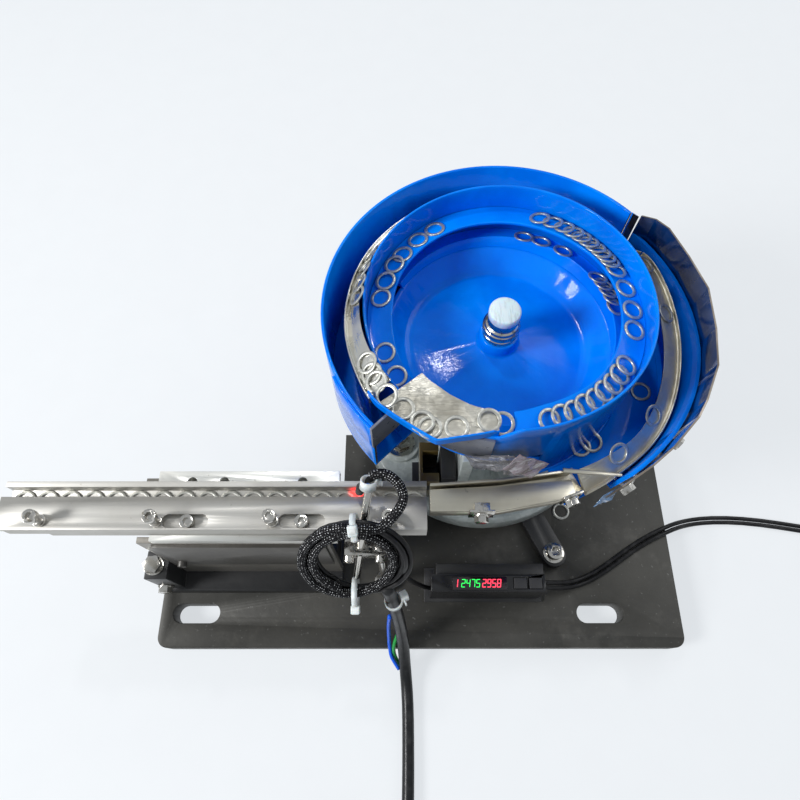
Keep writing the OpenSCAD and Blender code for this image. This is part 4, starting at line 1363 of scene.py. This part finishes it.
solid_finishes = [
    ("base_plate", plate_black, "plate_black", 0.5),
    ("anchor_bar", drive_black, "drive_black", 0.5),
    ("drive_feet", rubber, "foot_rubber", 0.4),
    ("drive_base", casting, "casting_grey", 0.6),
    ("top_casting", casting, "casting_grey", 0.6),
    ("armature_post", casting, "casting_grey", 0.4),
    ("base_fasteners", screws, "bright_steel", 0.2),
    ("magnet_core", drive_black, "drive_black", 0.3),
    ("magnet_coil", coil_amber, "coil_tape", 0.5),
    ("bowl_springs", spring_grey, "spring_steel", 0.15),
    ("lin_base", drive_black, "drive_black", 0.6),
    ("lin_side_plates", side_grey, "side_plate_grey", 0.3),
    ("lin_covers", cover_dark, "cover_dark", 0.25),
    ("lin_springs", spring_grey, "spring_steel", 0.2),
    ("lin_magnet", drive_black, "drive_black", 0.3),
    ("lin_top", top_steel, "rail_steel", 0.4),
    ("amp_body", amp_black, "amp_plastic", 0.4),
    ("amp_bracket", drive_black, "drive_black", 0.3),
    ("button_set", button_black, "amp_plastic", 0.25),
    ("button_mode", button_black, "amp_plastic", 0.25),
    ("sensor_rods", chrome, "bright_steel", 0.3),
    ("rod_clamp", screws, "bright_steel", 0.4),
    ("sensor_head", drive_black, "drive_black", 0.2),
    ("lead_plugs", drive_black, "cable_black", 0.6),
    ("front_band", grey_band, "polished_steel", 0.2),
    ("exit_channel", exit_steel, "worn_steel", 0.2),
    ("exit_cover", exit_steel, "worn_steel", 0.25),
    ("exit_clamps", screws, "bright_steel", 0.2),
    ("centre_nut", screws, "bright_steel", 0.3),
    ("centre_cap", frosted, "cap_clear", 0.3),
    ("rail_bar", rail_steel, "rail_steel", 0.25),
    ("rail_cover", rail_steel, "rail_steel", 0.3),
    ("rail_screws", screws, "bright_steel", 0.25),
    ("bowl_floor", blue_coat, "bowl_blue", 0.8),
    ("pan_floor", blue_coat, "bowl_blue", 0.4),
    ("pan_wall", blue_coat, "bowl_blue", 0.35),
    ("pan_cone", blue_coat, "bowl_blue", 0.35),
]
finished = {node: eased(node, finish, width) for node, finish, slot, width in solid_finishes}
pan_mesh = finished["pan_wall"].data
pan_mesh.materials.append(dark_panel)
for face in pan_mesh.polygons:
    outwards = Vector((face.center.x, face.center.y, 0)).normalized()
    if abs(face.normal.z) < 0.7 and abs(face.normal.dot(outwards)) < 0.5:
        face.material_index = 1
print("solids finished:", len(finished))

# %% [markdown]
# ## The display
# The amplifier shows plain numbers behind a dark window: a red mark, four green digits and four
# red digits, leaning a little. Each digit is up to seven slim bars, so one function builds any
# of them from a string of lit bars. They glow, so their finish emits light.

# %% Window and digits
def glowing(name, colour, level):
    made = Finish(name, Roughness=0.4, Emission_Strength=level)
    flicker = made.noise(2500, 2)
    dim = tuple(0.75 * channel for channel in colour[:3]) + (1.0,)
    made.set(Emission_Color=made.blend(flicker, colour, dim), Base_Color=dim)
    return made.material


window = mottled(
    "dark_window",
    rgb(0.012, 0.006, 0.009),
    rgb(0.022, 0.01, 0.014),
    (180, 3, 0.4, 0.7),
    Roughness=0.12,
    Coat_Weight=0.5,
)
eased("amp_window", window, 0.15)
red_glow = glowing("red_digits", rgb(1.0, 0.05, 0.10), 2.2)
green_glow = glowing("green_digits", rgb(0.03, 0.9, 0.12), 1.5)
bars = {
    "top": ((0.1, 1.0), (0.9, 1.0)),
    "middle": ((0.1, 0.5), (0.9, 0.5)),
    "foot": ((0.1, 0.0), (0.9, 0.0)),
    "high_left": ((0.0, 0.58), (0.0, 0.95)),
    "high_right": ((1.0, 0.58), (1.0, 0.95)),
    "low_left": ((0.0, 0.05), (0.0, 0.42)),
    "low_right": ((1.0, 0.05), (1.0, 0.42)),
}
lit = {
    "1": "high_right low_right",
    "2": "top high_right middle low_left foot",
    "4": "high_left middle high_right low_right",
    "5": "top high_left middle low_right foot",
    "7": "top high_right low_right",
    "8": "top high_left high_right middle low_left low_right foot",
    "9": "top high_left high_right middle low_right foot",
}
window_low, window_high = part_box("amp_window")
digit_height, digit_width, digit_pitch, digit_lean, bar_wide = 4.5, 2.0, 3.05, 0.12, 0.5


def digits(name, text, left, finish):
    shape = bmesh.new()
    foot = (window_low.y + window_high.y) / 2 / MM - digit_height / 2
    top = window_high.z / MM + 0.03
    for place, number in enumerate(text):
        for bar in lit[number].split():
            (x0, y0), (x1, y1) = bars[bar]
            low = Vector((min(x0, x1) * digit_width, min(y0, y1) * digit_height, -0.1))
            high = Vector((max(x0, x1) * digit_width, max(y0, y1) * digit_height, 0.12))
            half = Vector((bar_wide / 2, bar_wide / 2, 0))
            made = block(shape, low - half, high + half, 0.1, 1)
            shift = Vector((left + place * digit_pitch, foot, top))
            for vert in made:
                vert.co.x += digit_lean * vert.co.y
                vert.co += shift
    bmesh.ops.scale(shape, vec=(MM, MM, MM), verts=shape.verts)
    piece(name, shape, "base", finish, [], False)


first_digit = window_low.x / MM + 3.2
digits("display_mark", "1", first_digit - 2.2, red_glow)
digits("display_green", "2475", first_digit + 2.4, green_glow)
digits("display_red", "2958", first_digit + 15.4, red_glow)
print("display digits: 9")

# %% [markdown]
# ## Light, floor and background
# The feeder stands on a pale floor under a plain studio light: a soft key low on the left, a
# weak fill on the right, a small lamp behind and an even sky. The floor and the sky look white
# to the camera and to reflections through Light Path, so no extra light has to fall on the
# object to get there.

# %% Floor, sky and lamps
def pale_floor():
    made = Finish("pale_floor", Roughness=0.9, Specular_IOR_Level=0.1)
    speckle = made.noise(40, 3)
    made.set(Base_Color=made.blend(speckle, rgb(0.19, 0.193, 0.196), rgb(0.21, 0.213, 0.216)))
    path = made.node("LightPath", {})
    seen = path["Is Camera Ray"].sum("MAXIMUM", path["Is Camera Ray"], path["Is Glossy Ray"])
    seen = seen.sum("MAXIMUM", seen, path["Is Transmission Ray"])
    made.set(Emission_Color=rgb(0.88, 0.918, 0.955))
    plug(made.tree, made.shader.inputs["Emission Strength"], seen * 0.73)
    return made.material


floor_shape = bmesh.new()
bmesh.ops.create_grid(floor_shape, x_segments=1, y_segments=1, size=4.0)
bmesh.ops.translate(floor_shape, vec=(0, 0, -0.0002), verts=floor_shape.verts)
floor_mesh = bpy.data.meshes.new("floor")
floor_shape.to_mesh(floor_mesh)
floor_shape.free()
floor_mesh.materials.append(pale_floor())
floor = bpy.data.objects.new("floor", floor_mesh)
scene.collection.objects.link(floor)

world = bpy.data.worlds.new("studio")
scene.world = world
world.use_nodes = True
sky = world.node_tree
background = sky.nodes["Background"]
rays = sky.nodes.new("ShaderNodeLightPath")
seen = Wire(sky, rays.outputs["Is Camera Ray"])
seen = seen.sum("MAXIMUM", seen, Wire(sky, rays.outputs["Is Transmission Ray"]))
shine = Wire(sky, rays.outputs["Is Glossy Ray"])
background.inputs["Color"].default_value = rgb(0.90, 0.95, 1.0)
plug(sky, background.inputs["Strength"], seen * 0.6 + shine * 0.12 + 0.4)


def lamp(name, place, aim_at, size, power):
    light = bpy.data.lights.new(name, "AREA")
    light.shape = "DISK"
    light.size = size
    light.energy = power
    made = bpy.data.objects.new(name, light)
    scene.collection.objects.link(made)
    made.location = place
    made.rotation_mode = "QUATERNION"
    made.rotation_quaternion = (Vector(aim_at) - Vector(place)).to_track_quat("-Z", "Y")
    return made


lamp("key", (-1.2, -0.45, 0.95), (0, 0, 0.1), 0.45, 22)
lamp("fill", (0.9, 0.5, 1.0), (0, 0, 0.1), 0.8, 4)
lamp("spark", (-0.22, 0.42, 1.1), (-0.03, 0, 0.13), 0.07, 2.2)
scene.view_settings.view_transform = "Standard"
print("lamps: 3")
